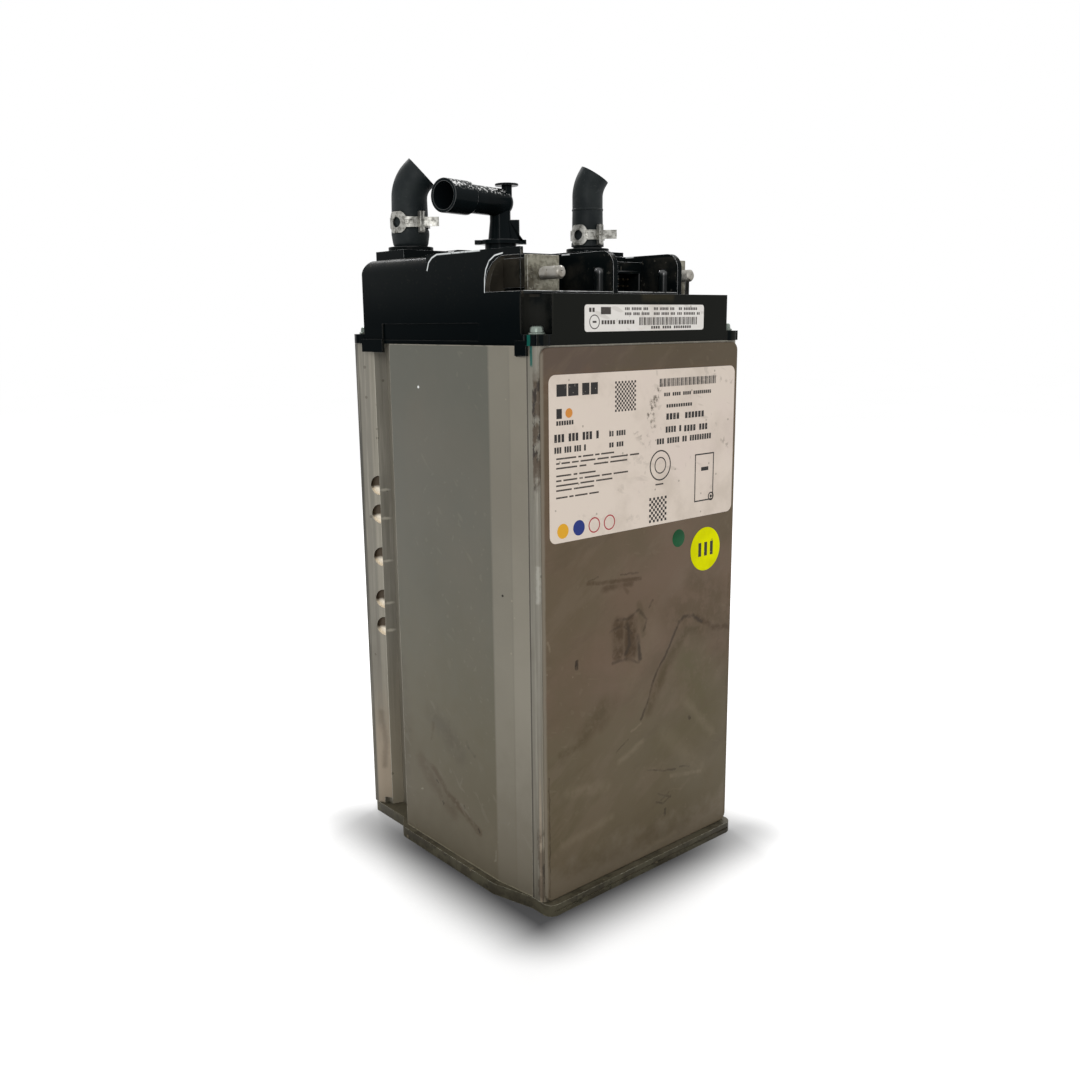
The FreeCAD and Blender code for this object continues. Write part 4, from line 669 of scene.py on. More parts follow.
FRONT_MARKS = (
    ("olive", 0.95, 30, 1.0, ((44, 146), (64, 106))), ("olive", 0.6, 26, 1.0, ((66, 96), (24, 92))),
    ("light", 0.16, 20, 1.0, ((-12, 146), (6, 172))), ("light", 0.2, 12, 1.0, ((20, 96), (60, 60))),
    ("shade", 0.95, 7.5, 1.0, ((4, 118), (25, 152), (42, 168), (58, 165))),
    ("shade", 0.6, 20, 1.0, ((50, 202), (74, 186))), ("shade", 0.65, 32, 1.0, ((36, 180), (80, 172))),
    ("shade", 0.4, 13, 1.0, ((76, 150), (88, 132))),
    ("brown", 0.75, 3.4, 0.9, ((53, 175), (71, 164), (90, 161))),
    ("dark", 0.75, 1.6, 0.9, ((-4, 113), (2, 121), (11, 143), (22, 156), (27, 165), (34, 175))),
    ("dark", 0.75, 2.1, 0.9, ((34, 175), (40, 178), (48, 177.5), (58, 171))),
    ("brown", 0.95, 7.5, 0.6, ((-26, 186), (-26, 166))), ("brown", 1.0, 8.5, 0.6, ((-14, 184), (-14, 164))),
    ("shade", 0.5, 4, 0.8, ((-6, 196), (-2, 174))),
    ("dark", 0.75, 2.2, 0.9, ((-17, 185), (-15, 169), (-19, 164))),
    ("dark", 0.6, 1.5, 0.9, ((-20, 183), (-13, 177))), ("dark", 0.85, 2.6, 0.9, ((-7, 174), (-5, 157))),
    ("dark", 0.55, 1.7, 0.9, ((-5, 191), (1, 183), (-2, 176))),
    ("dark", 0.55, 1.7, 0.9, ((-27, 189), (-16, 188), (-6, 192))),
    ("dark", 0.55, 1.8, 0.9, ((-33, 182), (-25, 184))),
    ("dark", 0.5, 1.7, 0.9, ((-31, 160), (-16, 160), (-6, 155))),
    ("dark", 0.5, 1.4, 0.9, ((3, 192), (7, 196))),
    ("brown", 0.75, 2.2, 0.8, ((-54, 218), (-26, 215), (-5, 214))),
    ("brown", 0.7, 3.6, 0.9, ((-40, 212), (-14, 212))), ("brown", 0.4, 2.2, 0.8, ((-26, 216), (-17, 206))),
    ("dark", 0.5, 0.9, 0.7, ((-53, 219), (-44, 221))), ("dark", 0.45, 0.9, 0.7, ((-24, 219), (-8, 218))),
    ("shade", 0.85, 11, 0.9, ((-38, 132), (-58, 115))), ("shade", 0.6, 8, 0.9, ((-29, 133), (-41, 119))),
    ("shade", 0.75, 4.5, 0.9, ((-58, 112), (-77, 108))), ("dark", 1.0, 1.9, 0.5, ((-63, 168), (-63, 164))),
    ("dark", 0.55, 1.2, 0.9, ((4, 73), (18, 69), (33, 66))), ("dark", 0.45, 1.2, 0.9, ((37, 66), (48, 64))),
    ("light", 0.4, 3.0, 0.9, ((28, 62), (60, 56))), ("dark", 0.6, 1.2, 0.9, ((15, 52), (28, 46))),
    ("dark", 0.5, 1.2, 0.9, ((18, 46), (26, 50))), ("dark", 0.5, 1.1, 0.9, ((13, 46), (20, 43), (28, 47))),
    ("dark", 0.9, 1.3, 0.6, ((23, 38), (22, 34))), ("dark", 0.8, 1.7, 0.7, ((46, 102), (47, 101))),
    ("light", 0.35, 4.0, 1.0, ((-24, 88), (-2, 96))), ("light", 0.3, 5.5, 1.0, ((-76, 44), (-32, 50))),
    ("dark", 0.45, 1.0, 0.8, ((-27, 96), (-16, 102))), ("light", 0.35, 1.2, 0.8, ((-13, 107), (-4, 110))),
    ("shade", 0.6, 2.2, 0.9, ((87, 200), (89, 12))), ("light", 0.3, 3, 1.0, ((-4, 10), (10, 15), (34, 16))),
    ("light", 0.3, 7, 1.0, ((-70, 80), (-36, 74))), ("dark", 0.55, 0.8, 0.6, ((-87.5, 12), (-87.6, 96))),
    ("light", 0.5, 1.2, 0.7, ((-88, 186), (-86, 180))), ("shade", 0.35, 9, 1.0, ((-70, 24), (44, 20))),
    ("light", 0.25, 6, 1.0, ((40, 118), (72, 84))),
)


def paint_rail_light_and_shade(finish, rail, inner):
    """Painted light on the outward and inner faces of the rear rails, a painted highlight along them and a
    painted shadow beside them.
    """
    # Painted light: the outward faces are a lit copy of the bare metal
    finish.paint(srgb(130, 126, 116), finish.both(rail, 0.85))
    # Painted highlight along the rails' edge
    finish.coat(
        srgb(150, 145, 132), "span", 0.8, direction=RAIL_ALONG, start=-122.4, end=-100, soft=0.9,
        within=rail,
    )
    # Painted light: the inner faces are a lit copy of the bare metal
    finish.paint(srgb(136, 132, 121), finish.both(inner, 0.9))
    # Painted shadow on the flat strip behind the rails
    sideways = finish.mask("facing", 0.92, direction=LEFT)
    finish.coat(
        srgb(58, 56, 50), "span", direction=ALONG_Y, start=97.6, end=200, soft=0.3, within=sideways,
    )


def crust_corner(finish, places):
    """Dirt in two stretches of the near corner, darker in its core."""
    corner = finish.mask("span", 1.0, places, direction=ALONG_Y, start=-104, end=-98, soft=0.6)
    for foot, top, strength in CRUSTS:
        level = finish.mask("span", strength, start=foot, end=top, soft=6, ragged=30)
        held = finish.both(corner, level)
        squat = finish.scaled(1, 1, 0.5)
        finish.coat(srgb(70, 56, 40), "clouds", 1.0, squat, held, scale=150.0, low=0.40, high=0.54)
        finish.coat(srgb(34, 26, 18), "clouds", 1.0, squat, held, scale=190.0, low=0.52, high=0.6)


def paint_notch_light_and_shade(finish, inner):
    """Painted shade on the rims of the half-round notches in the rails, painted highlights on their floors
    and painted gleams on the inner faces beside them.
    """
    outside = sum_up(finish.tree, "SUBTRACT", 1.0, inner)
    recess = finish.both(
        outside, finish.mask("span", direction=RAIL_NORMAL, start=29, end=32.9, soft=0.2),
    )
    rough = finish.wobble(1.6, 300.0)
    for level in NOTCH_LEVELS:
        # Painted shade in each notch, a painted highlight on its floor and a painted gleam on the inner
        # face
        for steps, strength, places, place, reach, soft, within in (
            ((72, 60, 44), 1.0, None, (-87.3, 89.5, level), (7.5, 8.5, 7.7), 0.1, recess),
            ((250, 240, 222), 1.0, rough, (-87.3, 89.5, level - 4.8), (7, 8, 5.4), 0.5, recess),
            ((196, 190, 174), 0.75, rough, (-82.5, 85.2, level - 3.6), (5.5, 5, 1.6), 0.8, inner),
        ):
            finish.coat(
                srgb(*steps), "smear", strength, places, within, place=mm(*place), reach=mm(*reach),
                soft=soft,
            )


def bare_metal():
    """Bare aluminium of the extruded case, dull and dirty at the near corner, with painted light and shade
    on its rails and in its notches.
    """
    look = settings("case")
    finish = Finish("bare_aluminium", look.rail, 0.42, 0.3)
    rail = finish.mask("facing", direction=RAIL_NORMAL)
    inner = finish.mask("facing", direction=INNER_NORMAL)
    finish.coat(srgb(112, 108, 97), "clouds", 0.5, scale=14.0, low=0.4, high=0.7)
    paint_rail_light_and_shade(finish, rail, inner)
    drawn = finish.scaled(1, 1, 0.03)
    finish.coat(srgb(168, 163, 150), "clouds", 0.4, drawn, scale=420.0, low=0.5, high=0.66)
    finish.coat(srgb(94, 90, 80), "clouds", 0.35, drawn, scale=310.0, low=0.52, high=0.7)
    finish.coat(look.soil, "span", 0.5, start=-50, end=120, soft=100, ragged=80)
    # Painted light low on the rails' outward and inner faces, where the floor shades them, in a soiled tone
    finish.coat(srgb(152, 138, 119), "span", 0.9, start=-100, end=80, soft=45, ragged=50, within=rail)
    finish.coat(srgb(156, 147, 128), "span", 0.9, start=-100, end=90, soft=90, ragged=30, within=inner)
    finish.coat(srgb(74, 66, 52), "specks", 0.5, scale=210.0, size=0.24, amount=0.10)
    ragged = finish.wobble(3.0, 260.0)
    crust_corner(finish, ragged)
    flat = finish.flat("side", ragged)
    smear = finish.trail("side", ((93, 84), (90, 60), (92, 40)), 4, 0.5, 1.0, flat)
    finish.paint(srgb(96, 84, 68), finish.both(rail, smear))
    # Painted highlight: a pale upright glint on the near pillar
    rubbed = finish.trail("side", ((-100.5, 212), (-100.8, 234)), 2.2, 0.5, 1.0, flat)
    finish.paint(srgb(176, 174, 164), rubbed)
    for start, end, steps, strength in CASE_SEAMS_AND_EDGE_HIGHLIGHT:
        finish.coat(srgb(*steps), "span", strength, direction=ALONG_Y, start=start, end=end, soft=0.3)
    finish.coat(srgb(186, 182, 168), "wear", 0.85, scale=150.0, amount=0.52)
    paint_notch_light_and_shade(finish, inner)
    upper = finish.mask("span", start=357, end=400, soft=1, ragged=10)
    finish.coat(GREEN_PAINT, "span", within=upper, **GREEN_SEAM)
    finish.roughen(0.6, "clouds", 0.6, scale=32.0, low=0.45, high=0.6)
    return finish.grained(1400.0, 0.02, 0.6)


def side_metal(name, table):
    """Coated side plate with lighter bands at its near edge, smears near its foot and painted light low
    down, where the floor shades it.
    """
    look = settings("case")
    finish = Finish(name, look.side, 0.42, 0.15, 0.25)
    finish.coat(srgb(98, 91, 70), "span", 0.9, start=-300, end=160, soft=140, ragged=60)
    for near, far, share in SIDE_BANDS:
        finish.coat(look.band, "span", share, direction=ALONG_Y, start=near, end=far, soft=1.2)
    finish.coat(srgb(110, 104, 92), "clouds", 0.35, scale=7.0, low=0.4, high=0.7)
    finish.coat(srgb(86, 78, 63), "span", 0.45, start=-300, end=90, soft=60, ragged=50)
    # Painted light low down, where the floor shades the plate
    finish.coat(srgb(112, 104, 88), "span", 0.8, start=-300, end=30, soft=50, ragged=50)
    broken = spread(finish.tree, noise(finish.tree, finish.place, 150.0), 0.34, 0.56, 0.35, 1.0)
    finish.marks("side", table, finish.wobble(7.0, 120.0), broken)
    finish.coat(
        srgb(150, 143, 122), "span", 0.8, start=0, end=9.2, soft=0.4, ragged=0.8, within=broken,
    )
    finish.coat(srgb(150, 144, 128), "specks", 0.6, scale=95.0, size=0.07, amount=0.07)
    finish.coat(srgb(62, 56, 46), "specks", 0.6, scale=70.0, size=0.07, amount=0.06)
    for along, level, radius, steps in SIDE_DOTS:
        dot = finish.trail("side", ((along, level), (along + 0.2, level)), radius, 1.0, 0.2)
        finish.paint(srgb(*steps), dot)
    finish.coat(srgb(136, 130, 116), "scratches", 0.5, scale=26.0, amount=0.3)
    finish.coat(srgb(158, 152, 138), "wear", 0.8, scale=130.0, amount=0.45)
    finish.roughen(0.52, "clouds", 0.8, scale=18.0, low=0.4, high=0.65)
    return finish.grained(1600.0, 0.012, 0.5)


def front_metal():
    """Brown front plate with stains, a long curved smear and rubbed places."""
    look = settings("case")
    finish = Finish("front_plate_brown", look.front, 0.44, 0.12, 0.2)
    finish.coat(srgb(106, 88, 71), "span", 0.8, start=150, end=262, soft=30, ragged=50)
    finish.coat(srgb(94, 84, 62), "span", 0.85, start=-100, end=135, soft=40, ragged=60)
    finish.coat(srgb(88, 76, 67), "span", 0.7, start=350, end=400, soft=6, ragged=20)
    finish.coat(srgb(88, 78, 56), "clouds", 0.6, scale=9.0, low=0.42, high=0.62)
    steep = finish.scaled(0.3, 1, 1, turn=(0.0, 0.65, 0.0))
    finish.coat(srgb(112, 97, 80), "clouds", 0.3, steep, scale=62.0, low=0.5, high=0.66)
    gentle = finish.scaled(0.3, 1, 1, turn=(0.0, 0.3, 0.0))
    finish.coat(srgb(80, 67, 50), "clouds", 0.3, gentle, scale=44.0, low=0.52, high=0.68)
    finish.coat(srgb(116, 105, 88), "span", 0.75, start=-100, end=24, soft=16, ragged=50)
    broken = spread(finish.tree, noise(finish.tree, finish.place, 120.0, 6.0, 0.65), 0.36, 0.58, 0.4, 1.0)
    finish.marks("front", FRONT_MARKS, finish.wobble(4.0, 110.0), broken)
    finish.coat(
        srgb(124, 116, 102), "span", 0.8, direction=ALONG_X, start=-200, end=-89.3, soft=0.8, ragged=1,
    )
    finish.coat(srgb(48, 42, 34), "specks", 0.7, scale=64.0, size=0.06, amount=0.06)
    finish.coat(srgb(128, 116, 98), "specks", 0.5, scale=90.0, size=0.06, amount=0.08)
    finish.coat(srgb(122, 109, 90), "scratches", 0.4, scale=30.0, amount=0.35)
    finish.coat(srgb(128, 116, 98), "wear", 0.8, scale=110.0, amount=0.38)
    finish.roughen(0.58, "clouds", 0.8, scale=22.0, low=0.4, high=0.65)
    finish.bump(finish.mask("clouds", scale=26.0, low=0.2, high=0.8), 0.06, 0.25)
    return finish.grained(1500.0, 0.015, 0.5)


def base_metal():
    """Dark coated base plate, soiled on its ledge."""
    look = settings("case")
    finish = Finish("base_coating", look.base, 0.5, 0.1, 0.4)
    finish.coat(srgb(90, 86, 68), "clouds", 0.7, scale=60.0, low=0.4, high=0.6)
    finish.coat(srgb(40, 36, 26), "clouds", 0.7, scale=150.0, low=0.54, high=0.64)
    finish.coat(srgb(92, 86, 70), "dust", scale=45.0, top=0.9, film=0.3)
    finish.coat(srgb(122, 116, 98), "wear", scale=90.0, amount=0.6)
    finish.coat(srgb(186, 182, 166), "wear", scale=240.0, amount=0.38)
    finish.coat(srgb(122, 112, 92), "specks", 0.7, scale=120.0, size=0.2, amount=0.1)
    finish.roughen(0.66, "clouds", 0.7, scale=30.0, low=0.4, high=0.6)
    return finish.grained(1000.0, 0.05, 0.6, 0.6)


def black_moulding(name, dust=0.6, film=0.03, roughness=0.2):
    """Glossy black plastic with dust where it can lie, and sharper gloss on its rounded edges."""
    look = settings("cover")
    finish = Finish(name, look.black, roughness, 0.0, 0.025)
    finish.coat(srgb(8, 12, 14), "clouds", 0.7, scale=10.0, low=0.4, high=0.7)
    finish.coat(look.dust, "dust", scale=55.0, top=dust * 0.12, film=film * 0.3)
    grit = finish.mask("dust", scale=160.0, top=dust * 0.7, film=film * 2)
    finish.coat(srgb(126, 118, 102), "specks", within=grit, scale=420.0, size=0.3, amount=0.25)
    finish.roughen(0.42, "dust", scale=55.0, top=dust, film=film * 3)
    finish.roughen(0.32, "scratches", 0.8, scale=34.0, amount=0.6)
    rounded = finish.mask("wear", scale=30.0, amount=2.0)
    finish.layer("Specular IOR Level", 0.9, rounded)
    finish.layer("Roughness", 0.24, rounded)
    return finish


# Places along and up the left side of the painted highlights on the hook and on the edge of the left window
HOOK_EDGE = ((-4.0, 425.0), (1.5, 423.2), (5.2, 420.4), (7.2, 415.6))
WINDOW_EDGE = (
    (-53.8, 400.0), (-54.1, 408.0), (-55.4, 413.5), (-58.8, 418.4), (-64.4, 421.4), (-72.0, 422.4),
)
# Height of the step round the cover, on top of its skirt
LEDGE = 398.5
SOFT_EDGE = 0.3


def soil_bays(finish):
    """Brown dirt between the fins, thickest in the left bay."""
    bays = finish.both(
        finish.mask("span", direction=ALONG_Y, start=-90, end=-40.5, soft=0.4),
        finish.mask("span", start=LEDGE - 2, end=423.5, soft=0.4),
    )
    inside = finish.both(bays, finish.mask("span", direction=ALONG_X, start=-91.5, end=91.2, soft=0.2))
    left_bay = finish.both(
        inside, finish.mask("span", direction=ALONG_X, start=-100, end=-66.5, soft=0.4),
    )
    finish.coat(srgb(48, 46, 41), "clouds", 0.75, scale=46.0, low=0.42, high=0.66, within=inside)
    finish.coat(srgb(70, 66, 58), "clouds", 0.95, scale=60.0, low=0.26, high=0.52, within=left_bay)
    finish.coat(srgb(112, 108, 98), "scratches", 0.5, scale=48.0, amount=0.7, within=inside)


def tone_skirt(finish, sideways):
    """Skirt with painted shade and lowered gloss on its left face and painted light on its front, dust in
    the screw scallop and a green run beside it.
    """
    skirt = finish.mask("span", start=300, end=LEDGE - 0.1, soft=SOFT_EDGE)
    # Painted shade: the skirt's left face darker and less glossy
    shaded_left_skirt = finish.both(sideways, finish.mask("span", 0.9, start=300, end=400, soft=22))
    finish.paint(srgb(3, 8, 10), shaded_left_skirt)
    finish.layer("Specular IOR Level", 0.006, shaded_left_skirt)
    # Painted light: the front of the skirt lighter
    front = finish.mask("facing", 0.9, direction=FRONT)
    finish.paint(srgb(30, 31, 28), finish.both(skirt, front))
    smudge = finish.trail(
        "front", ((-2, 397), (24, 397)), 4.5, 0.6, 1.0, finish.flat("front", finish.wobble(4.0, 200.0)),
    )
    finish.paint(srgb(62, 57, 42), finish.both(front, smudge))
    scallop = finish.both(
        finish.mask("smear", place=mm(-86, -95.5, 388), reach=mm(10.5, 10.5, 60), soft=0.05),
        finish.mask("span", start=375, end=LEDGE - 0.1, soft=SOFT_EDGE),
    )
    finish.coat(srgb(40, 40, 37), "clouds", 0.8, scale=60.0, low=0.3, high=0.6, within=scallop)
    seam = finish.both(
        finish.mask("span", **GREEN_SEAM),
        finish.mask("span", direction=ALONG_X, start=-200, end=-88, soft=1),
    )
    finish.coat(GREEN_PAINT, "span", start=357, end=374.8, soft=0.5, ragged=3, within=seam)


def paint_edge_highlights(finish, sideways):
    """Painted highlights in white along the upper edges, the rim of the fins, the hook, the edge of the
    left window and the edges on top, over duller worn edges.
    """
    finish.coat(srgb(110, 106, 96), "wear", 0.7, scale=220.0, amount=0.30)
    # Painted highlights along the bevelled upper edges near the front
    edge_highlight = finish.mask("wear", scale=42.0, amount=0.62)
    upper = finish.mask("span", start=LEDGE + 0.1, end=500, soft=SOFT_EDGE)
    near = finish.mask("span", direction=ALONG_Y, start=-200, end=9, soft=0.6)
    finish.paint(srgb(250, 252, 252), finish.both(edge_highlight, finish.both(upper, near)))
    # Painted highlights along the top of the left face, the hook and the edge of the left window
    rim = finish.both(sideways, finish.mask("span", start=424.6, end=500, soft=SOFT_EDGE))
    rim = finish.both(rim, finish.mask("span", direction=ALONG_Y, start=-50, end=-4, soft=0.6))
    outermost = finish.both(
        sideways, finish.mask("span", direction=ALONG_X, start=-200, end=-91.5, soft=0.2),
    )
    bent = finish.trail("side", HOOK_EDGE, 0.65, 1.0, 0.5)
    arch = finish.trail("side", WINDOW_EDGE, 0.55, 1.0, 0.5)
    drawn = finish.both(outermost, finish.either(bent, arch))
    # Painted highlights on the bevelled edges above the roof
    worn = finish.mask("wear", 0.9, scale=90.0, amount=0.4)
    finish.coat(srgb(208, 212, 212), "span", start=426.2, end=500, soft=0.2, within=worn)
    uneven = finish.mask("clouds", scale=260.0, low=0.26, high=0.44)
    finish.paint(srgb(226, 230, 230), finish.both(uneven, finish.either(rim, drawn)))


def cover_plastic():
    """The cover: black, dusty brown in the bays between its fins, with painted shade and light on its skirt
    and painted highlights along its edges.
    """
    finish = black_moulding("cover_plastic", 0.8, 0.02)
    soil_bays(finish)
    sideways = finish.mask("facing", direction=LEFT)
    tone_skirt(finish, sideways)
    paint_edge_highlights(finish, sideways)
    return finish.grained(700.0, 0.008, 0.3, 0.5)


def vent_plastic():
    """Shiny black plastic of the vent, with near-white flecks on what faces up along its top."""
    finish = black_moulding("vent_plastic", 0.25, 0.02, 0.14)
    finish.coat(srgb(20, 26, 28), "clouds", 0.9, scale=30.0, low=0.3, high=0.5)
    drops = finish.either(
        finish.mask("specks", scale=520.0, size=0.36, amount=0.4),
        finish.mask("clouds", scale=420.0, low=0.56, high=0.6),
    )
    on_top = finish.both(
        finish.mask("facing", direction=UP, low=0.3, high=0.75),
        finish.mask("span", start=470.5, end=482, soft=0.5),
    )
    finish.paint(srgb(252, 252, 250), finish.both(drops, on_top))
    return finish.grained(420.0, 0.03, 0.4, 1.2)


def hose_rubber():
    """Soft black rubber, a little grey with dust."""
    look = settings("hose")
    finish = Finish("hose_rubber", look.rubber, 0.5, 0.0, 0.2)
    finish.coat(srgb(32, 38, 38), "clouds", 0.6, scale=60.0, low=0.42, high=0.66)
    finish.coat(srgb(72, 76, 74), "dust", scale=110.0, top=0.5, film=0.06)
    finish.coat(srgb(92, 94, 92), "wear", 0.8, scale=240.0, amount=0.42)
    finish.coat(srgb(56, 60, 60), "scratches", 0.6, scale=50.0, amount=0.6)
    finish.roughen(0.66, "clouds", 0.7, scale=90.0, low=0.4, high=0.6)
    return finish.grained(1100.0, 0.05, 0.6, 0.8)


def steel(name, colour, roughness, stain=(120, 112, 96), amount=0.4, grain=90.0):
    """Plated steel with dull patches and scratches."""
    finish = Finish(name, colour, roughness, 0.85)
    finish.coat(srgb(*stain), "clouds", amount, scale=grain, low=0.42, high=0.64)
    finish.coat(srgb(70, 64, 54), "specks", 0.7, scale=420.0, size=0.3, amount=0.12)
    finish.coat(srgb(226, 226, 220), "wear", 0.7, scale=240.0, amount=0.45)
    finish.roughen(min(roughness + 0.2, 1.0), "clouds", 0.8, scale=140.0, low=0.4, high=0.62)
    finish.roughen(roughness * 0.6, "scratches", 0.9, scale=90.0, amount=0.8)
    return finish.grained(1800.0, 0.01, 0.5)


def terminal_metal():
    """Tinned plate behind a stud: olive grey, mottled and scratched."""
    finish = Finish("terminal_metal", srgb(150, 147, 132), 0.36, 0.6)
    finish.coat(srgb(62, 56, 45), "clouds", 0.9, scale=70.0, low=0.42, high=0.6)
    finish.coat(srgb(84, 78, 62), "clouds", 0.6, scale=240.0, low=0.42, high=0.6)
    finish.coat(srgb(172, 168, 152), "scratches", 0.7, scale=110.0, amount=0.9)
    finish.coat(srgb(196, 194, 184), "wear", 0.8, scale=200.0, amount=0.4)
    finish.roughen(0.55, "clouds", 0.8, scale=90.0, low=0.4, high=0.6)
    return finish.grained(1600.0, 0.02, 0.5)


def plain_finish(name, first, second, roughness, metallic=0.0, grain=1200.0, depth=0.02):
    """A finish of two close tones, for pieces inside the case and small trim."""
    finish = Finish(name, srgb(*first), roughness, metallic)
    finish.coat(srgb(*second), "clouds", 0.7, scale=30.0, low=0.4, high=0.65)
    finish.roughen(min(roughness + 0.15, 1.0), "clouds", 0.7, scale=60.0, low=0.4, high=0.6)
    return finish.grained(grain, depth, 0.5)


LABEL_SCUFFS = (
    # start, end, half width, strength
    ((9, 337), (2, 322), 4.5, 0.9), ((2, 325), (6, 312), 4, 0.8), ((12, 341), (8, 333), 3, 0.9),
    ((-10, 312), (0, 304), 5, 0.4), ((-60, 262), (10, 252), 3, 0.12), ((58, 345), (84, 340), 3, 0.3),
    ((76, 300), (86, 290), 2.5, 0.4), ((-20, 296), (8, 290), 6, 0.15),
)


def film_finish(name, colour):
    """White label film, soiled, with a scuffed streak."""
    finish = Finish(name, colour, 0.42, 0.0, 0.4)
    finish.coat(srgb(188, 174, 158), "clouds", 0.45, scale=26.0, low=0.47, high=0.7)
    finish.coat(srgb(222, 204, 196), "clouds", 0.4, scale=11.0, low=0.5, high=0.7)
    scuff_places = finish.flat("front", finish.wobble(7.0, 160.0))
    scuffed = finish.mask("clouds", scale=240.0, low=0.5, high=0.6)
    for start, end, width, strength in LABEL_SCUFFS:
        finish.paint(srgb(104, 94, 80), finish.both(
            finish.trail("front", (start, end), width, strength, 0.8, scuff_places), scuffed,
        ))
    finish.coat(srgb(150, 140, 126), "scratches", 0.6, scale=24.0, amount=0.4)
    finish.coat(srgb(140, 130, 116), "specks", 0.6, scale=260.0, size=0.2, amount=0.06)
    finish.roughen(0.6, "clouds", 0.6, scale=40.0, low=0.4, high=0.65)
    return finish.grained(900.0, 0.01, 0.4)


def ink_finish(name, colour, worn=(150, 142, 132)):
    """Printed ink, thin in places."""
    finish = Finish(name, colour, 0.5, 0.0, 0.3)
    finish.coat(srgb(*worn), "clouds", 0.5, scale=160.0, low=0.58, high=0.72)
    finish.coat(srgb(*worn), "specks", 0.7, scale=700.0, size=0.3, amount=0.12)
    return finish.material


INSIDE = {
    # slot: two tones, roughness and where it is metal its share of metal
    "zinc_steel": ((178, 180, 172), (140, 138, 126), 0.38, 0.85),
    "seal_rubber": ((26, 26, 27), (38, 38, 38), 0.7),
    "pin_brass": ((84, 76, 60), (66, 58, 42), 0.45, 0.9),
    "cell_case": ((168, 172, 178), (146, 150, 156), 0.34, 0.7),
    "spacer_plastic": ((64, 68, 74), (52, 56, 60), 0.6),
    "link_aluminium": ((196, 198, 200), (172, 174, 176), 0.32, 0.9),
    "carrier_plastic": ((36, 36, 40), (48, 48, 52), 0.55),
    "inner_aluminium": ((160, 162, 164), (138, 140, 142), 0.4, 0.8),
    "pad_rubber": ((128, 96, 110), (112, 84, 96), 0.8),
    "fuse_ceramic": ((218, 212, 198), (196, 190, 176), 0.5),
    "contactor_plastic": ((30, 32, 36), (42, 44, 48), 0.45),
    "copper_bar": ((186, 118, 84), (150, 92, 64), 0.3, 0.95),
    "shunt_plastic": ((44, 46, 50), (58, 60, 62), 0.5),
    "board_green": ((28, 92, 58), (22, 74, 48), 0.35),
    "stud_steel": ((178, 178, 172), (150, 146, 134), 0.35, 0.9),
    "connector_plastic": ((24, 24, 26), (36, 36, 38), 0.45),
}


# Pieces

FLOOR_REACH = 8
LAMPS = (
    # name, setting of its power, place, what it points at, width and height, in metres
    ("left_edge_lamp", "left_watts", (0.30, 1.17, 1.32), (0.0, 0.0, 0.42), 0.35, 0.12),
    ("front_edge_lamp", "right_watts", (0.98, 0.30, 1.54), (0.0, 0.0, 0.42), 0.5, 0.12),
    ("front_lamp", "front_watts", (-1.1, -0.95, 0.75), (0.0, 0.0, 0.25), 0.15, 0.5),
)


def build_stage():
    """Floor, even light, three soft lamps and the camera."""
    look = settings("stage")
    scene = bpy.context.scene
    mesh = bmesh.new()
    bmesh.ops.create_grid(mesh, x_segments=1, y_segments=1, size=FLOOR_REACH)
    data = bpy.data.meshes.new("floor")
    mesh.to_mesh(data)
    mesh.free()
    floor = bpy.data.objects.new("floor", data)
    scene.collection.objects.link(floor)
    data.materials.append(floor_paint(look))
    light_world(scene, look)
    for name, power, place, target, width, height in LAMPS:
        data = bpy.data.lights.new(name, "AREA")
        data.energy = getattr(look, power)
        data.shape = "RECTANGLE"
        data.size = width
        data.size_y = height
        lamp = bpy.data.objects.new(name, data)
        lamp.location = place
        lamp.rotation_euler = (Vector(target) - Vector(place)).to_track_quat("-Z", "Y").to_euler()
        scene.collection.objects.link(lamp)
    data = bpy.data.cameras.new("camera")
    data.sensor_width = look.sensor
    data.lens = look.lens
    camera = bpy.data.objects.new("camera", data)
    camera.matrix_world = (
        Matrix.Translation(look.place)
        @ Matrix.Rotation(-look.heading, 4, "Z")
        @ Matrix.Rotation(math.radians(90) + look.pitch, 4, "X")
        @ Matrix.Rotation(look.roll, 4, "Z")
    )
    scene.collection.objects.link(camera)
    scene.camera = camera
    scene.view_settings.view_transform = "Standard"


def seen_ray(tree):
    """1 for what the camera, a gloss or a glass sees."""
    path = add_node(tree, "ShaderNodeLightPath").outputs
    seen = sum_up(tree, "ADD", path["Is Camera Ray"], path["Is Glossy Ray"])
    return sum_up(tree, "ADD", seen, path["Is Transmission Ray"], True)


# The painted foot of the shadow: where it fades from the front to the back, in metres, and how far
# its start lies inside the base plate and its dark contact reaches, as shares of its whole reach
SHADOW_FADE = (-0.09, 0.08)
SHADOW_START = -0.17
CONTACT_START = -0.010
CONTACT_REACH = 0.4
CONTACT_STRENGTH = 0.5
BACKWARD = (1.0, 1.0, 0.0)


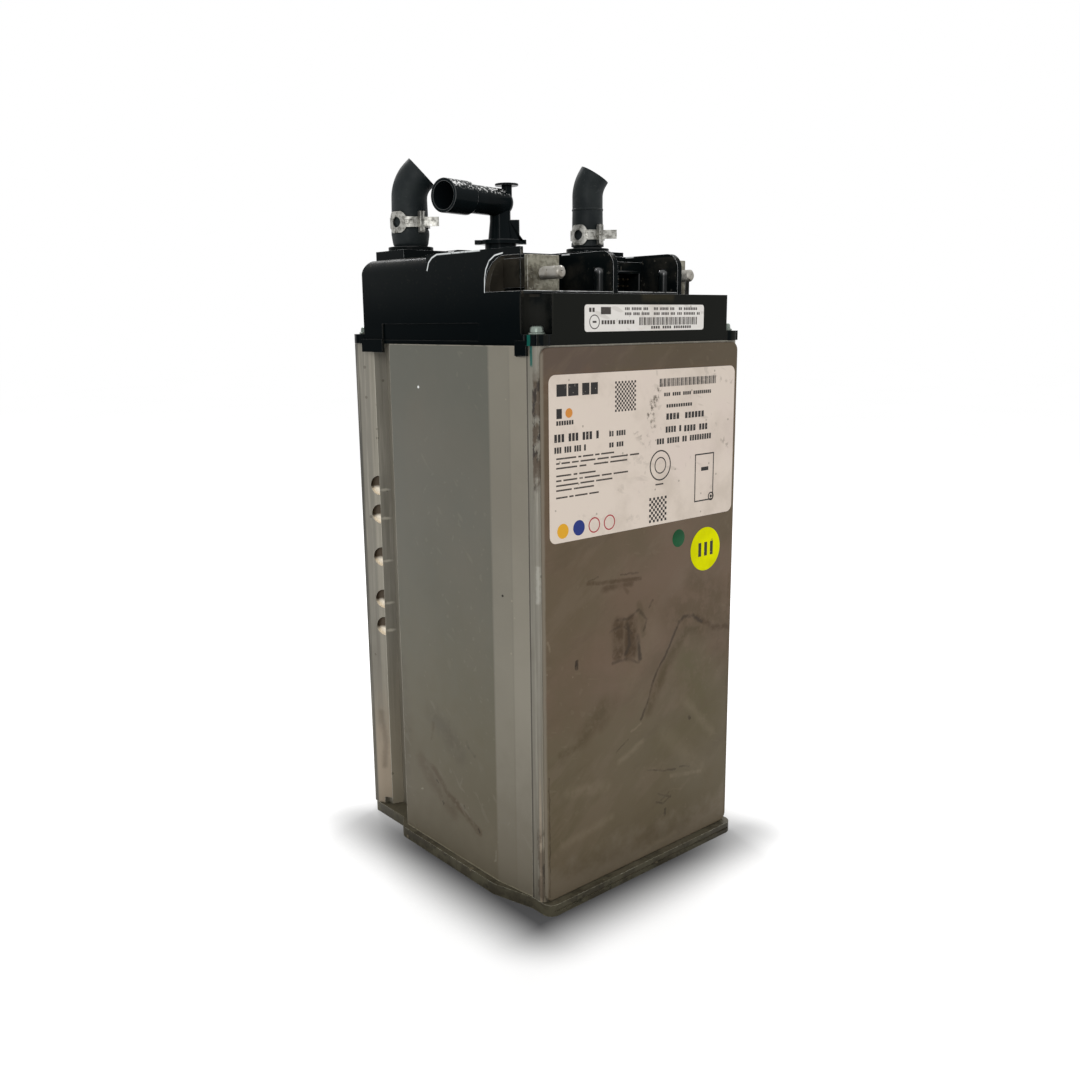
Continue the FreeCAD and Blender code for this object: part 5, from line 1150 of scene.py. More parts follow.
def open_floor_mask(tree, place, look):
    """Mask of the painted shadow: 1 on the open floor, falling towards the base plate and most at its
    front.
    """
    low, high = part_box("base_plate")
    middle = (low + high) / 2
    reach = (high - low) / 2
    middle.z = reach.z = 0.0
    aside = vectors(tree, "ABSOLUTE", vectors(tree, "SUBTRACT", place, middle))
    past = vectors(tree, "MAXIMUM", vectors(tree, "SUBTRACT", aside, reach))
    distance = measure(tree, "LENGTH", past)
    clear = spread(tree, distance, SHADOW_START * look.shadow_reach, look.shadow_reach)
    ahead = spread(tree, measure(tree, "DOT_PRODUCT", place, BACKWARD), *SHADOW_FADE, 1.0, 0.0)
    wide = sum_up(tree, "MULTIPLY", sum_up(tree, "SUBTRACT", 1.0, clear), ahead)
    close = spread(tree, distance, CONTACT_START, CONTACT_REACH * look.shadow_reach, CONTACT_STRENGTH, 0.0)
    return sum_up(tree, "SUBTRACT", 1.0, sum_up(tree, "MAXIMUM", wide, close), True)


def floor_paint(look):
    """Pale floor with a painted shadow close to the base plate, lifted to white for the camera."""
    material = bpy.data.materials.new("floor_paint")
    material.use_nodes = True
    tree = material.node_tree
    tree.nodes.clear()
    place = add_node(tree, "ShaderNodeTexCoord").outputs["Object"]
    open_floor = open_floor_mask(tree, place, look)
    pale = mix_colours(tree, noise(tree, place, 3.0), look.floor_colour, srgb(232, 232, 232))
    tone = mix_colours(tree, open_floor, srgb(46, 46, 48), pale)
    white = mix_colours(tree, open_floor, srgb(30, 30, 32), (1, 1, 1, 1))
    matt = add_node(tree, "ShaderNodeBsdfDiffuse", {"Color": tone}).outputs[0]
    glow = add_node(tree, "ShaderNodeEmission", {"Color": white, "Strength": look.floor_lift}).outputs[0]
    dark = add_node(tree, "ShaderNodeEmission", {"Strength": 0.0}).outputs[0]
    lift = add_node(tree, "ShaderNodeMixShader", {0: seen_ray(tree), 1: dark, 2: glow}).outputs[0]
    both = add_node(tree, "ShaderNodeAddShader", {0: matt, 1: lift}).outputs[0]
    add_node(tree, "ShaderNodeOutputMaterial", {"Surface": both})
    return material


def light_world(scene, look):
    """Even light from all round, white where it is seen."""
    world = bpy.data.worlds.new("room")
    scene.world = world
    world.use_nodes = True
    tree = world.node_tree
    tree.nodes.clear()
    even = add_node(tree, "ShaderNodeBackground", {"Strength": look.room_light}).outputs[0]
    white = add_node(tree, "ShaderNodeBackground", {"Color": (1, 1, 1, 1), "Strength": 1.0}).outputs[0]
    both = add_node(tree, "ShaderNodeMixShader", {0: seen_ray(tree), 1: even, 2: white}).outputs[0]
    add_node(tree, "ShaderNodeOutputWorld", {"Surface": both})


def build_case():
    """Extruded case, side plates and front plate."""
    width = settings("case").rounding
    dress_node("housing", "case_extrusion", bare_metal(), width)
    left = side_metal("side_grey_left", SIDE_MARKS)
    right = side_metal("side_grey_right", FAR_SIDE_MARKS)
    dress_node("side_plate_left", "side_cladding_left", left, width)
    dress_node("side_plate_right", "side_cladding_right", right, width)
    dress_node("front_plate", "front_cladding", front_metal(), width)


CORNER_ROUNDING = 4.0
BASE_EDGE_SHARE = 1.8
GROOVE = (3.0, 4.4)
GROOVE_INSET = 0.2
GROOVE_DEPTH = 0.9


def level_cuts(mesh, *levels):
    """Cuts the faces of a mesh at heights given in metres."""
    for level in levels:
        bmesh.ops.bisect_plane(
            mesh, geom=mesh.verts[:] + mesh.edges[:] + mesh.faces[:],
            plane_co=(0, 0, level), plane_no=(0, 0, 1),
        )


def build_base():
    """Base plate with rounded corners, its ledge and a groove along its front."""
    mesh = merged_copy("base_plate")
    low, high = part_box("base_plate")
    nearly_whole = (high.z - low.z) * 0.9

    def outer_corner(edge):
        first, second = (vert.co for vert in edge.verts)
        return abs(first.z - second.z) > nearly_whole

    def in_groove(face):
        middle = face.calc_center_median()
        foremost = face.normal.y < -0.95 and middle.y < low.y + 0.5 * MM
        return foremost and GROOVE[0] * MM < middle.z < GROOVE[1] * MM

    break_edges(mesh, CORNER_ROUNDING * MM, 5, outer_corner, 0.0)
    break_edges(mesh, settings("case").rounding * BASE_EDGE_SHARE)
    level_cuts(mesh, *(level * MM for level in GROOVE))
    front = [face for face in mesh.faces if in_groove(face)]
    bmesh.ops.inset_region(mesh, faces=front, thickness=GROOVE_INSET * MM, depth=-GROOVE_DEPTH * MM)
    add_piece(mesh, "base_tray", base_metal(), ("base_plate",))


SCREW_PLACES = [(x, y) for x in (-86, 86) for y in (-95.5, 95.5)]
SCREW_FOOT = 353
SCREW_SEAT = 374.5
SCREW_PROFILE = (
    # radius and height above the seat, in millimetres
    (0, SCREW_FOOT - SCREW_SEAT), (2.4, SCREW_FOOT - SCREW_SEAT), (2.9, SCREW_FOOT - SCREW_SEAT + 1),
    (2.9, 0), (5.1, 0), (5.3, 0.25), (5.3, 0.9), (5.1, 1.15), (4.3, 1.5), (4.05, 3.9), (3.6, 4.6),
    (2.9, 4.95), (2.2, 5.0), (2.05, 4.8), (1.9, 2.6), (0, 2.2),
)


RIB_PLACES = ((-17.2, -78), (42.8, -78))
RIB_RADIUS = 4.2
RIB_RISE = 17.5
RIB_ROUNDING = 3
RIB_ARC_STEPS = 6
RIB_EDGE = 0.45
SUNK = 0.3
LIP_SPANS = ((-91.4, -18.2), (-13.8, 41.8))
LIP_FRONT = -91.2
LIP_WIDTH = 1.6
LIP_RISE = 1.7


def build_ribs(plastic):
    """Round-topped ribs on the fins and low lips along the front of the bays."""
    corners = frame["nodes"]["top_cover"].data.vertices
    ledge = next(vert.co.z for vert in corners if abs(vert.co.z - LEDGE * MM) < 0.1 * MM) / MM
    mesh = bmesh.new()
    shoulder = RIB_RISE - RIB_ROUNDING
    profile = [(0, -SUNK), (RIB_RADIUS, -SUNK), (RIB_RADIUS, shoulder)]
    for step in range(1, RIB_ARC_STEPS + 1):
        turn = math.radians(90 / RIB_ARC_STEPS * step)
        profile.append((RIB_RADIUS * math.cos(turn), shoulder + RIB_ROUNDING * math.sin(turn)))
    for x, y in RIB_PLACES:
        lathe(mesh, in_metres(profile), Matrix.Translation(mm(x, y, ledge)), 40)
    for start, end in LIP_SPANS:
        low = mm(start, LIP_FRONT, ledge - SUNK)
        add_box(mesh, low, mm(end, LIP_FRONT + LIP_WIDTH, ledge + LIP_RISE))
    break_edges(mesh, RIB_EDGE * MM, 3)
    add_piece(mesh, "cover_ribs", plastic)


def rib_plastic():
    """The cover's plastic on its ribs and lips, glossier upwards, with a painted white highlight along the
    lips' tops.
    """
    glossy = black_moulding("cover_rib_plastic", 0.3, 0.02)
    glossy.layer("Specular IOR Level", 0.16, glossy.mask("span", start=390, end=500))
    glossy.layer("Specular IOR Level", 1.0, glossy.mask("span", start=412.5, end=500, soft=1.5))
    lip_top_highlight = glossy.both(
        glossy.mask("facing", direction=UP, low=0.3, high=0.7),
        glossy.mask("span", 0.9, start=LEDGE, end=LEDGE + 2.3, soft=SOFT_EDGE),
    )
    uneven = glossy.mask("clouds", scale=180.0, low=0.34, high=0.5)
    # Painted highlight along the tops of the lips
    glossy.paint(srgb(236, 238, 236), glossy.both(lip_top_highlight, uneven))
    return glossy.material


def build_cover():
    """Top cover, its ribs and lips, and the screws that hold it."""
    plastic = cover_plastic()
    dress_node("top_cover", "cover_moulding", plastic, settings("cover").rounding, 3)
    build_ribs(rib_plastic())
    mesh = bmesh.new()
    for x, y in SCREW_PLACES:
        lathe(mesh, in_metres(SCREW_PROFILE), Matrix.Translation(mm(x, y, SCREW_SEAT)), 36)
    finish = steel("screw_zinc", srgb(132, 142, 134), 0.3, (66, 72, 64), 0.7)
    add_piece(mesh, "cover_screw_heads", finish, ("cover_screws",))


THREAD_SHAPE = (
    # share of a turn, share of the groove's depth
    (0.0, 1), (0.12, 1), (0.44, 0), (0.56, 0), (0.88, 1),
)


def thread(mesh, radius, length, pitch, depth, matrix, steps=28):
    """A screw thread along the upright axis: a zigzag line turned as a helix and cut off square."""
    turns = math.ceil(length / pitch) + 2
    dots = []
    for n in range(turns):
        foot = (n - 1) * pitch
        for share, sunk in THREAD_SHAPE:
            dots.append(mesh.verts.new((radius - sunk * depth, 0, foot + share * pitch)))
    chain = [mesh.edges.new(pair) for pair in zip(dots, dots[1:])]
    before = set(mesh.verts) - set(dots)
    bmesh.ops.spin(
        mesh, geom=dots + chain, cent=(0, 0, 0), axis=(0, 0, 1), dvec=(0, 0, pitch / steps),
        angle=FULL_TURN, steps=steps, use_merge=False,
    )
    made = [vert for vert in mesh.verts if vert not in before]
    bmesh.ops.remove_doubles(mesh, verts=made, dist=WELD)
    for level, side in ((0.0, -1), (length, 1)):
        made = [vert for vert in mesh.verts if vert not in before]
        part = made + touching(mesh.edges, made) + touching(mesh.faces, made)
        cut = bmesh.ops.bisect_plane(
            mesh, geom=part, plane_co=(0, 0, level), plane_no=(0, 0, side), clear_outer=True,
        )["geom_cut"]
        rim = [item for item in cut if isinstance(item, bmesh.types.BMEdge)]
        bmesh.ops.contextual_create(mesh, geom=rim)
    made = [vert for vert in mesh.verts if vert not in before]
    bmesh.ops.recalc_face_normals(mesh, faces=touching(mesh.faces, made))
    bmesh.ops.transform(mesh, matrix=matrix, verts=made)


# Radius and height of the stud's flanged foot, in millimetres
STUD_FOOT = ((0, 0), (6.1, 0), (6.5, 0.4), (6.5, 3.6), (6.1, 4.0), (3.5, 4.0), (3.5, 7.6), (0, 7.6))
STUD_RADIUS = 4
THREAD_START = 7.0
TERMINAL_EDGE = 0.3


def build_terminals():
    """Terminal plates and threaded studs."""
    look = settings("stud")
    metal = terminal_metal()
    silver = steel("stud_steel", srgb(166, 163, 156), 0.28, (112, 104, 90), 0.6)
    for word in ("positive", "negative"):
        dress_node(
            f"terminal_plate_{word}", f"terminal_bar_{word}", metal, TERMINAL_EDGE * MM,
        )
        low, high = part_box(f"stud_{word}")
        middle = (low + high) / 2
        head = Vector((middle.x, high.y, middle.z))
        tip = (high.y - low.y) / MM
        mesh = bmesh.new()
        lathe(mesh, in_metres(STUD_FOOT), facing_front(head), 40)
        end = tip - look.bevel / MM
        thread(
            mesh, STUD_RADIUS * MM, (end - THREAD_START) * MM, look.pitch, look.depth,
            facing_front(head - mm(0, THREAD_START, 0)),
        )
        cone = (
            (0, end - 0.4), (3.62, end - 0.4), (3.62, end), (3.0, tip - 0.15), (2.8, tip), (1.1, tip),
            (0.5, tip - 0.5), (0, tip - 0.6),
        )
        lathe(mesh, in_metres(cone), facing_front(head), 40)
        add_piece(mesh, f"threaded_stud_{word}", silver, (f"stud_{word}",))


def build_connector():
    """Shell of the data connector."""
    finish = black_moulding("connector_plastic_face", 0.5, 0.06, 0.3)
    finish.bump(finish.mask("grain", scale=900.0), 0.01, 0.4)
    dress_node("data_connector", "connector_shell", finish.material, 0.5 * MM)


HOSES = {
    # hub x and y, radius, rise, bend, turn in degrees, height of the ring above the foot
    "inlet": (-60, 73, 13, 33, 22, 47, 36),
    "outlet": (62, 18, 11.7, 37, 25.5, 31, 28),
}
HOSE_FOOT = 435
HOSE_BORE = 10.0
HOSE_TAIL = 3.5
HOSE_HEADING = -40.5
HOSE_EDGE = 0.35
SPIGOT_EDGE = 0.3
BEND_STEPS = 14


def tube_wall(mesh, stations, bend, turn, tail, steps=48):
    """An open tube: stations of (height, radius), a bend towards +X and a straight tail."""
    height, radius = stations[0]
    ring = bmesh.ops.create_circle(mesh, segments=steps, radius=radius, cap_ends=False)["verts"]
    bmesh.ops.translate(mesh, verts=ring, vec=(0, 0, height))
    first = edges = touching(mesh.edges, ring)
    for next_height, next_radius in stations[1:]:
        grown = bmesh.ops.extrude_edge_only(mesh, edges=edges)["geom"]
        ring = [item for item in grown if isinstance(item, bmesh.types.BMVert)]
        edges = [item for item in grown if isinstance(item, bmesh.types.BMEdge)]
        share = next_radius / radius
        bmesh.ops.scale(mesh, verts=ring, vec=(share, share, 1))
        bmesh.ops.translate(mesh, verts=ring, vec=(0, 0, next_height - height))
        height, radius = next_height, next_radius
    turned = bmesh.ops.spin(
        mesh, geom=edges, cent=(bend, 0, height), axis=(0, 1, 0), dvec=(0, 0, 0), angle=turn,
        steps=BEND_STEPS, use_merge=False,
    )["geom_last"]
    edges = [item for item in turned if isinstance(item, bmesh.types.BMEdge)]
    grown = bmesh.ops.extrude_edge_only(mesh, edges=edges)["geom"]
    ring = [item for item in grown if isinstance(item, bmesh.types.BMVert)]
    last = [item for item in grown if isinstance(item, bmesh.types.BMEdge)]
    bmesh.ops.translate(mesh, verts=ring, vec=(tail * math.sin(turn), 0, tail * math.cos(turn)))
    return first, last


def hose_outline(radius, rise, ring, squeeze, bead):
    """Height and radius up a hose: a rounded foot, a bulge, a squeezed band and a moulded ring."""
    steps = [
        (0, -1.6), (0.6, -1.1), (2.4, -0.4), (squeeze - 8, 0.5), (squeeze - 5.5, 0.4),
        (squeeze - 3.4, -0.5), (squeeze + 3.4, -0.5), (squeeze + 5.5, -0.1),
    ]
    if ring < rise:
        steps += [(ring - 0.8, -bead), (ring - 0.5, 0), (ring + 0.5, 0), (ring + 0.8, -bead)]
    steps.append((rise, -bead))
    return [(height, radius + change) for height, change in steps]


def build_hoses():
    """Cut hose stubs and the spigots that they sit on."""
    look = settings("hose")
    rubber = hose_rubber()
    for word, (x, y, radius, rise, bend, turn, ring) in HOSES.items():
        low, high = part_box(f"clamp_{word}")
        squeeze = (low.z + high.z) / 2 / MM - HOSE_FOOT
        outside = hose_outline(radius, rise, ring, squeeze, look.ring / MM)
        mesh = bmesh.new()
        angle = math.radians(turn)
        sizes = (bend * MM, angle, HOSE_TAIL * MM)
        foot, end = tube_wall(mesh, in_metres(outside), *sizes)
        inner_foot, inner_end = tube_wall(mesh, in_metres([(0, HOSE_BORE), (rise, HOSE_BORE)]), *sizes)
        bmesh.ops.bridge_loops(mesh, edges=foot + inner_foot)
        bmesh.ops.bridge_loops(mesh, edges=end + inner_end)
        bmesh.ops.recalc_face_normals(mesh, faces=mesh.faces)
        place = Matrix.Translation(mm(x, y, HOSE_FOOT))
        turned = Matrix.Rotation(math.radians(HOSE_HEADING), 4, "Z")
        bmesh.ops.transform(mesh, matrix=place @ turned, verts=mesh.verts)
        break_edges(mesh, HOSE_EDGE * MM)
        add_piece(mesh, f"coolant_hose_{word}", rubber, (f"hose_{word}",))
        plastic = black_moulding(f"spigot_plastic_{word}", 0.5, 0.04, 0.3).material
        dress_node(f"coolant_spigot_{word}", f"spigot_{word}", plastic, SPIGOT_EDGE * MM)


LOBE_HEADING = HOSE_HEADING - 127
LOBE_SPREAD = 31
LOBE_SLACK = 0.02
LOBE_ROUNDNESS = 0.86
LOBE_FULLNESS = 1.12
HOOK_HEADING = HOSE_HEADING - 53
HOOK_SPREAD = 9
HALF_BAND = 3.6
WINDOWS = (HOSE_HEADING - 94, HOSE_HEADING - 78)
WINDOW_SPREAD = 5.5
WINDOW_HEIGHT = 1.5
WINDOW_INSET = 0.25
WINDOW_DEPTH = 0.5
BAND_WALL = 1.6
BAND_EDGE = 0.2
BAND_CUTS = (-0.8, -0.6, 0.6, 0.8)
PRONG = 0.75
PRONG_ASIDE = 1.25
PRONG_SUNK = 0.5
PRONG_GAP = 0.2


def heading_apart(spot, heading):
    """Degrees between a direction in the level plane and a heading."""
    turn = math.degrees(math.atan2(spot.y, spot.x)) - heading
    return abs((turn + 180) % 360 - 180)


def round_lobe(mesh, hub, half_height):
    """Draws the corners of the holed lobe in, so that it runs into the band."""
    for vert in mesh.verts:
        spot = vert.co - hub
        share = heading_apart(spot, LOBE_HEADING) / LOBE_SPREAD
        if share > 1 + LOBE_SLACK:
            continue
        rounded = math.sqrt(max(1 - (share * LOBE_ROUNDNESS) ** 2, 0)) * half_height
        limit = max(min(rounded * LOBE_FULLNESS, half_height), HALF_BAND * MM)
        if abs(spot.z) > limit:
            vert.co.z = hub.z + math.copysign(limit, spot.z)


def stamp_windows(mesh, hub, reach):
    """Presses two small windows into the band."""
    level_cuts(mesh, hub.z - WINDOW_HEIGHT * MM, hub.z + WINDOW_HEIGHT * MM)
    for heading in WINDOWS:
        chosen = []
        for face in mesh.faces:
            spot = face.calc_center_median() - hub
            outward = face.normal.dot(Vector((spot.x, spot.y, 0)).normalized())
            inside = abs(spot.z) < WINDOW_HEIGHT * MM and spot.length < reach
            if inside and outward > 0.9 and heading_apart(spot, heading) < WINDOW_SPREAD:
                chosen.append(face)
        if chosen:
            bmesh.ops.inset_region(
                mesh, faces=chosen, thickness=WINDOW_INSET * MM, depth=-WINDOW_DEPTH * MM,
            )


def build_clamps():
    """Spring clamps: a holed lobe, a band with stamped windows and a hook with two prongs."""
    look = settings("hose")
    metal = steel("clamp_steel", look.steel, 0.34, (70, 68, 62), 0.7, 330.0)
    for word in HOSES:
        x, y, radius = HOSES[word][:3]
        mesh = merged_copy(f"clamp_{word}")
        low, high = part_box(f"clamp_{word}")
        hub = Vector((x * MM, y * MM, (low.z + high.z) / 2))
        half_height = (high.z - low.z) / 2
        level_cuts(mesh, *(hub.z + half_height * share for share in BAND_CUTS))
        round_lobe(mesh, hub, half_height)
        stamp_windows(mesh, hub, (radius + BAND_WALL) * MM)
        break_edges(mesh, BAND_EDGE * MM)
        turn = math.radians(HOOK_HEADING)
        outward = Vector((math.cos(turn), math.sin(turn), 0))
        across = Vector((-outward.y, outward.x, 0))
        reach = max(
            (vert.co - hub).dot(outward) for vert in mesh.verts
            if heading_apart(vert.co - hub, HOOK_HEADING) < HOOK_SPREAD
        )
        rise = (high.z - low.z) / MM - 2 * PRONG_GAP
        rod = in_metres((
            (0, 0), (PRONG * 0.7, 0), (PRONG, PRONG * 0.5), (PRONG, rise - PRONG * 0.5),
            (PRONG * 0.7, rise), (0, rise),
        ))
        for side in (-1, 1):
            foot = hub + outward * (reach - PRONG_SUNK * MM) + across * (side * PRONG_ASIDE * MM)
            foot.z = low.z + PRONG_GAP * MM
            lathe(mesh, rod, Matrix.Translation(foot), 14)
        add_piece(mesh, f"hose_clamp_{word}", metal, (f"clamp_{word}",))


def build_vent():
    """Vent elbow."""
    dress_node("vent_elbow", "vent_pipe", vent_plastic(), 0.35 * MM)


LET_IN = 0.01
BAR_SHARE = 0.97
SQUARE_SHARE = 0.98
BROAD_STROKE, THIN_STROKE = 0.74, 0.46


class Sheet:
    """Where print goes: millimetres right of and below the top left corner of the printed field."""

    def __init__(self, node, top):
        self.low, self.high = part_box(node)
        self.face = self.low.y
        self.top = self.low.z + top * MM
        self.height = settings("print").ink_height

    def place(self, right, down):
        return Vector((self.low.x + right * MM, self.face, self.top - down * MM))

    def bar(self, mesh, right, down, width, height):
        """A raised block, let a little into the film."""
        low = self.place(right, down + height)
        high = self.place(right + width, down)
        low.y -= self.height
        high.y += LET_IN * MM
        add_box(mesh, low, high)

    def words(self, mesh, right, down, width, height, letters, pitch=None):
        """Broken bars that stand for a line of print: runs of blocks with gaps."""
        total = sum(letters) + len(letters) - 1
        step = width / total
        at = right
        for count in letters:
            for n in range(count):
                if pitch is None:
                    self.bar(mesh, at, down, step * count * BAR_SHARE, height)
                    break
                self.bar(mesh, at + n * step, down, step * pitch, height)
            at += (count + 1) * step

    def ring(self, mesh, right, down, outer, inner):
        """A ring, or a disc where the inner radius is 0."""
        inner, outer = inner * MM, outer * MM
        profile = [(inner, 0), (outer, 0), (outer, self.height), (inner, self.height)]
        lathe(mesh, profile, facing_front(self.place(right, down)), 40, inner > 0)

    def checker(self, mesh, right, down, width, height, cells):
        """A plain chequered field."""
        wide, tall = width / cells, height / cells
        for row in range(cells):
            for column in range(cells):
                if (row + column) % 2 == 0:
                    across, below = right + column * wide, down + row * tall
                    self.bar(mesh, across, below, wide * SQUARE_SHARE, tall * SQUARE_SHARE)

    def hatch(self, mesh, right, down, width, height, lines):
        """Upright strokes, every third one broad."""
        step = width / lines
        for n in range(lines):
            stroke = THIN_STROKE if n % 3 else BROAD_STROKE
            self.bar(mesh, right + n * step, down, step * stroke, height)


# Height of the printed field over each label's foot, and what is printed, all in millimetres. A
# letter's share is how much of its step it fills.
RATING_TOP = 105.0
SMALL_TOP = 16.3
STICKER_TOP = 31.0
RATING_LETTER = 0.72
SMALL_LETTER = 0.7
HEADING_DOWN = 7.9
HEADING_HEIGHT = 7.3
HEADING_BARS = (
    # right, width
    (6.2, 8.2), (15.6, 8.4), (27.2, 6.0), (34.4, 6.0),
)
BOLD_LINES = (
    # right, down, width, height and the letters of each word
    (5.9, 29.8, 14.5, 2.7, (7,)), (103.0, 25.3, 25.8, 2.2, (11,)),
    (4.2, 37.8, 37.8, 4.9, (3, 3, 3, 1)), (4.2, 45.6, 26.5, 3.8, (3, 3, 3, 1)),
    (50.4, 39.1, 15.0, 3.3, (2, 4)), (50.4, 46.3, 13.1, 3.1, (2, 3)),
    (103.0, 31.3, 13.4, 4.2, (4,)), (121.5, 31.5, 19.9, 4.1, (6,)),
    (102.5, 39.9, 16.0, 4.1, (4, 1)), (120.8, 40.3, 24.4, 4.2, (4, 3)),
    (94.2, 47.4, 54.9, 3.8, (3, 5, 2, 9)), (100.6, 17.6, 47.4, 2.3, (3, 4, 4, 9)),
)
FINE_HEIGHT = 1.0
FINE_LINES = (
    # right, down, width and the letters of each word
    (5.6, 52.2, 49.4, (13, 2, 7, 3, 9)), (5.5, 55.1, 72.2, (2, 5, 4, 9, 7, 11, 6)),
    (5.5, 58.0, 25.2, (12, 4)), (37.0, 58.0, 30.0, (9, 11)), (5.5, 62.7, 33.4, (8, 2, 9)),
    (5.4, 65.7, 62.3, (3, 8, 2, 9, 6, 9)), (5.4, 68.7, 48.3, (14, 9, 11)), (5.4, 71.7, 32.2, (9, 12)),
    (5.3, 76.2, 36.2, (8, 3, 9, 7)), (93.3, 77.3, 7.9, (6,)),
)


SIGN_BAR = (6.0, 22.5, 4.4, 6.0)
CHECKERS = (
    # right, down, width, height and how many squares fewer than the setting
    (55.4, 8.2, 18.7, 19.1, 0), (87.5, 86.2, 16.9, 16.8, 4),
)
RATING_STROKES = (96.2, 8.3, 56.8, 5.3, 42)
FRAME_BARS = (
    # right, down, width and height: the plain frame at the right and what stands in it
    (132.4, 61.0, 19.2, 0.9), (132.4, 93.4, 19.2, 0.9), (132.4, 61.0, 0.9, 32.6), (151.3, 61.0, 0.9, 32.6),
    (139, 70.5, 7.5, 2.6),
)
BOLD_RINGS = (
    # right, down, outer and inner radius
    (149.8, 91.8, 3.0, 2.1), (149.8, 91.8, 1.1, 0), (97.8, 65.2, 10.2, 9.3), (97.8, 65.2, 5.6, 4.8),
)
COLOURED_MARKS = (
    # name, colour, right, down, outer and inner radius
    ("rating_disc_yellow", (228, 168, 32), 10.7, 97.8, 4.7, 0),
    ("rating_disc_blue", (22, 44, 120), 24.2, 97.4, 4.9, 0),
    ("rating_rings_red", (168, 44, 52), 37.4, 97.4, 5.0, 4.2),
    ("rating_rings_red_second", (168, 44, 52), 50.8, 97.4, 5.0, 4.2),
    ("rating_disc_orange", (214, 140, 58), 16.2, 25.4, 2.9, 0),
)


def print_rating_label():
    """What the large label carries: bars, codes, discs and plain outlines."""
    sheet = Sheet("rating_label", RATING_TOP)
    look = settings("print")
    mesh = bmesh.new()
    for right, width in HEADING_BARS:
        sheet.bar(mesh, right, HEADING_DOWN, width, HEADING_HEIGHT)
    for line in BOLD_LINES:
        sheet.words(mesh, *line, RATING_LETTER)
    sheet.bar(mesh, *SIGN_BAR)
    for *field, fewer in CHECKERS:
        sheet.checker(mesh, *field, look.cells - fewer)
    sheet.hatch(mesh, *RATING_STROKES)
    for bar in FRAME_BARS:
        sheet.bar(mesh, *bar)
    for ring in BOLD_RINGS:
        sheet.ring(mesh, *ring)
    add_piece(mesh, "rating_print_bold", ink_finish("ink_black", look.ink))
    mesh = bmesh.new()
    for right, down, width, letters in FINE_LINES:
        sheet.words(mesh, right, down, width, FINE_HEIGHT, letters)
    add_piece(mesh, "rating_print_fine", ink_finish("ink_grey", srgb(66, 58, 52)))
    for name, steps, *ring in COLOURED_MARKS:
        mesh = bmesh.new()
        sheet.ring(mesh, *ring)
        add_piece(mesh, name, ink_finish(f"ink_{name}", srgb(*steps), steps))


SMALL_RING = (8.2, 10.4, 4.4, 3.8)
SMALL_BARS = ((6.6, 9.8, 3.2, 1.2), (13.6, 1.5, 8.6, 4.4))
SMALL_SIGN = (3.7, 1.9, 5.4, 2.6, (2,))
SMALL_STROKES = (47.4, 7.9, 55.4, 4.9, 40)
SMALL_HEADING = (14.2, 9.5, 29.4, 2.4, (5, 6))
SMALL_LINE_HEIGHT = 1.7
SMALL_LINES = (
    # right, down, width and the letters of each word
    (34.5, 1.7, 21.2, (3, 6, 3)), (60.7, 1.7, 19.7, (3, 6, 3)), (84.5, 1.7, 18.4, (2, 8)),
    (34.5, 4.8, 22.5, (4, 4, 5)), (60.7, 4.8, 20.4, (4, 5, 3)), (83.0, 4.8, 22.7, (3, 7, 2)),
    (58.4, 13.4, 38.8, (4, 4, 8)),
)


def print_small_label():
    """What the small label carries."""
    sheet = Sheet("small_label", SMALL_TOP)
    mesh = bmesh.new()
    sheet.ring(mesh, *SMALL_RING)
    for bar in SMALL_BARS:
        sheet.bar(mesh, *bar)
    sheet.words(mesh, *SMALL_SIGN, SMALL_LETTER)
    sheet.hatch(mesh, *SMALL_STROKES)
    sheet.words(mesh, *SMALL_HEADING, SMALL_LETTER)
    for right, down, width, letters in SMALL_LINES:
        sheet.words(mesh, right, down, width, SMALL_LINE_HEIGHT, letters, SMALL_LETTER)
    add_piece(mesh, "small_label_print", ink_finish("ink_small_label", srgb(62, 56, 52)))


FILM_EDGE = 0.06
STICKER_BARS = ((8.0, 10.6, 3.0, 9.8), (14.2, 10.6, 3.0, 9.8), (20.4, 10.6, 3.0, 9.8))
DOT_PLACE = (31.9, 235.6)
DOT_PROFILE = ((0, 0), (6.0, 0), (6.2, 0.05), (6.0, 0.1), (0, 0.1))


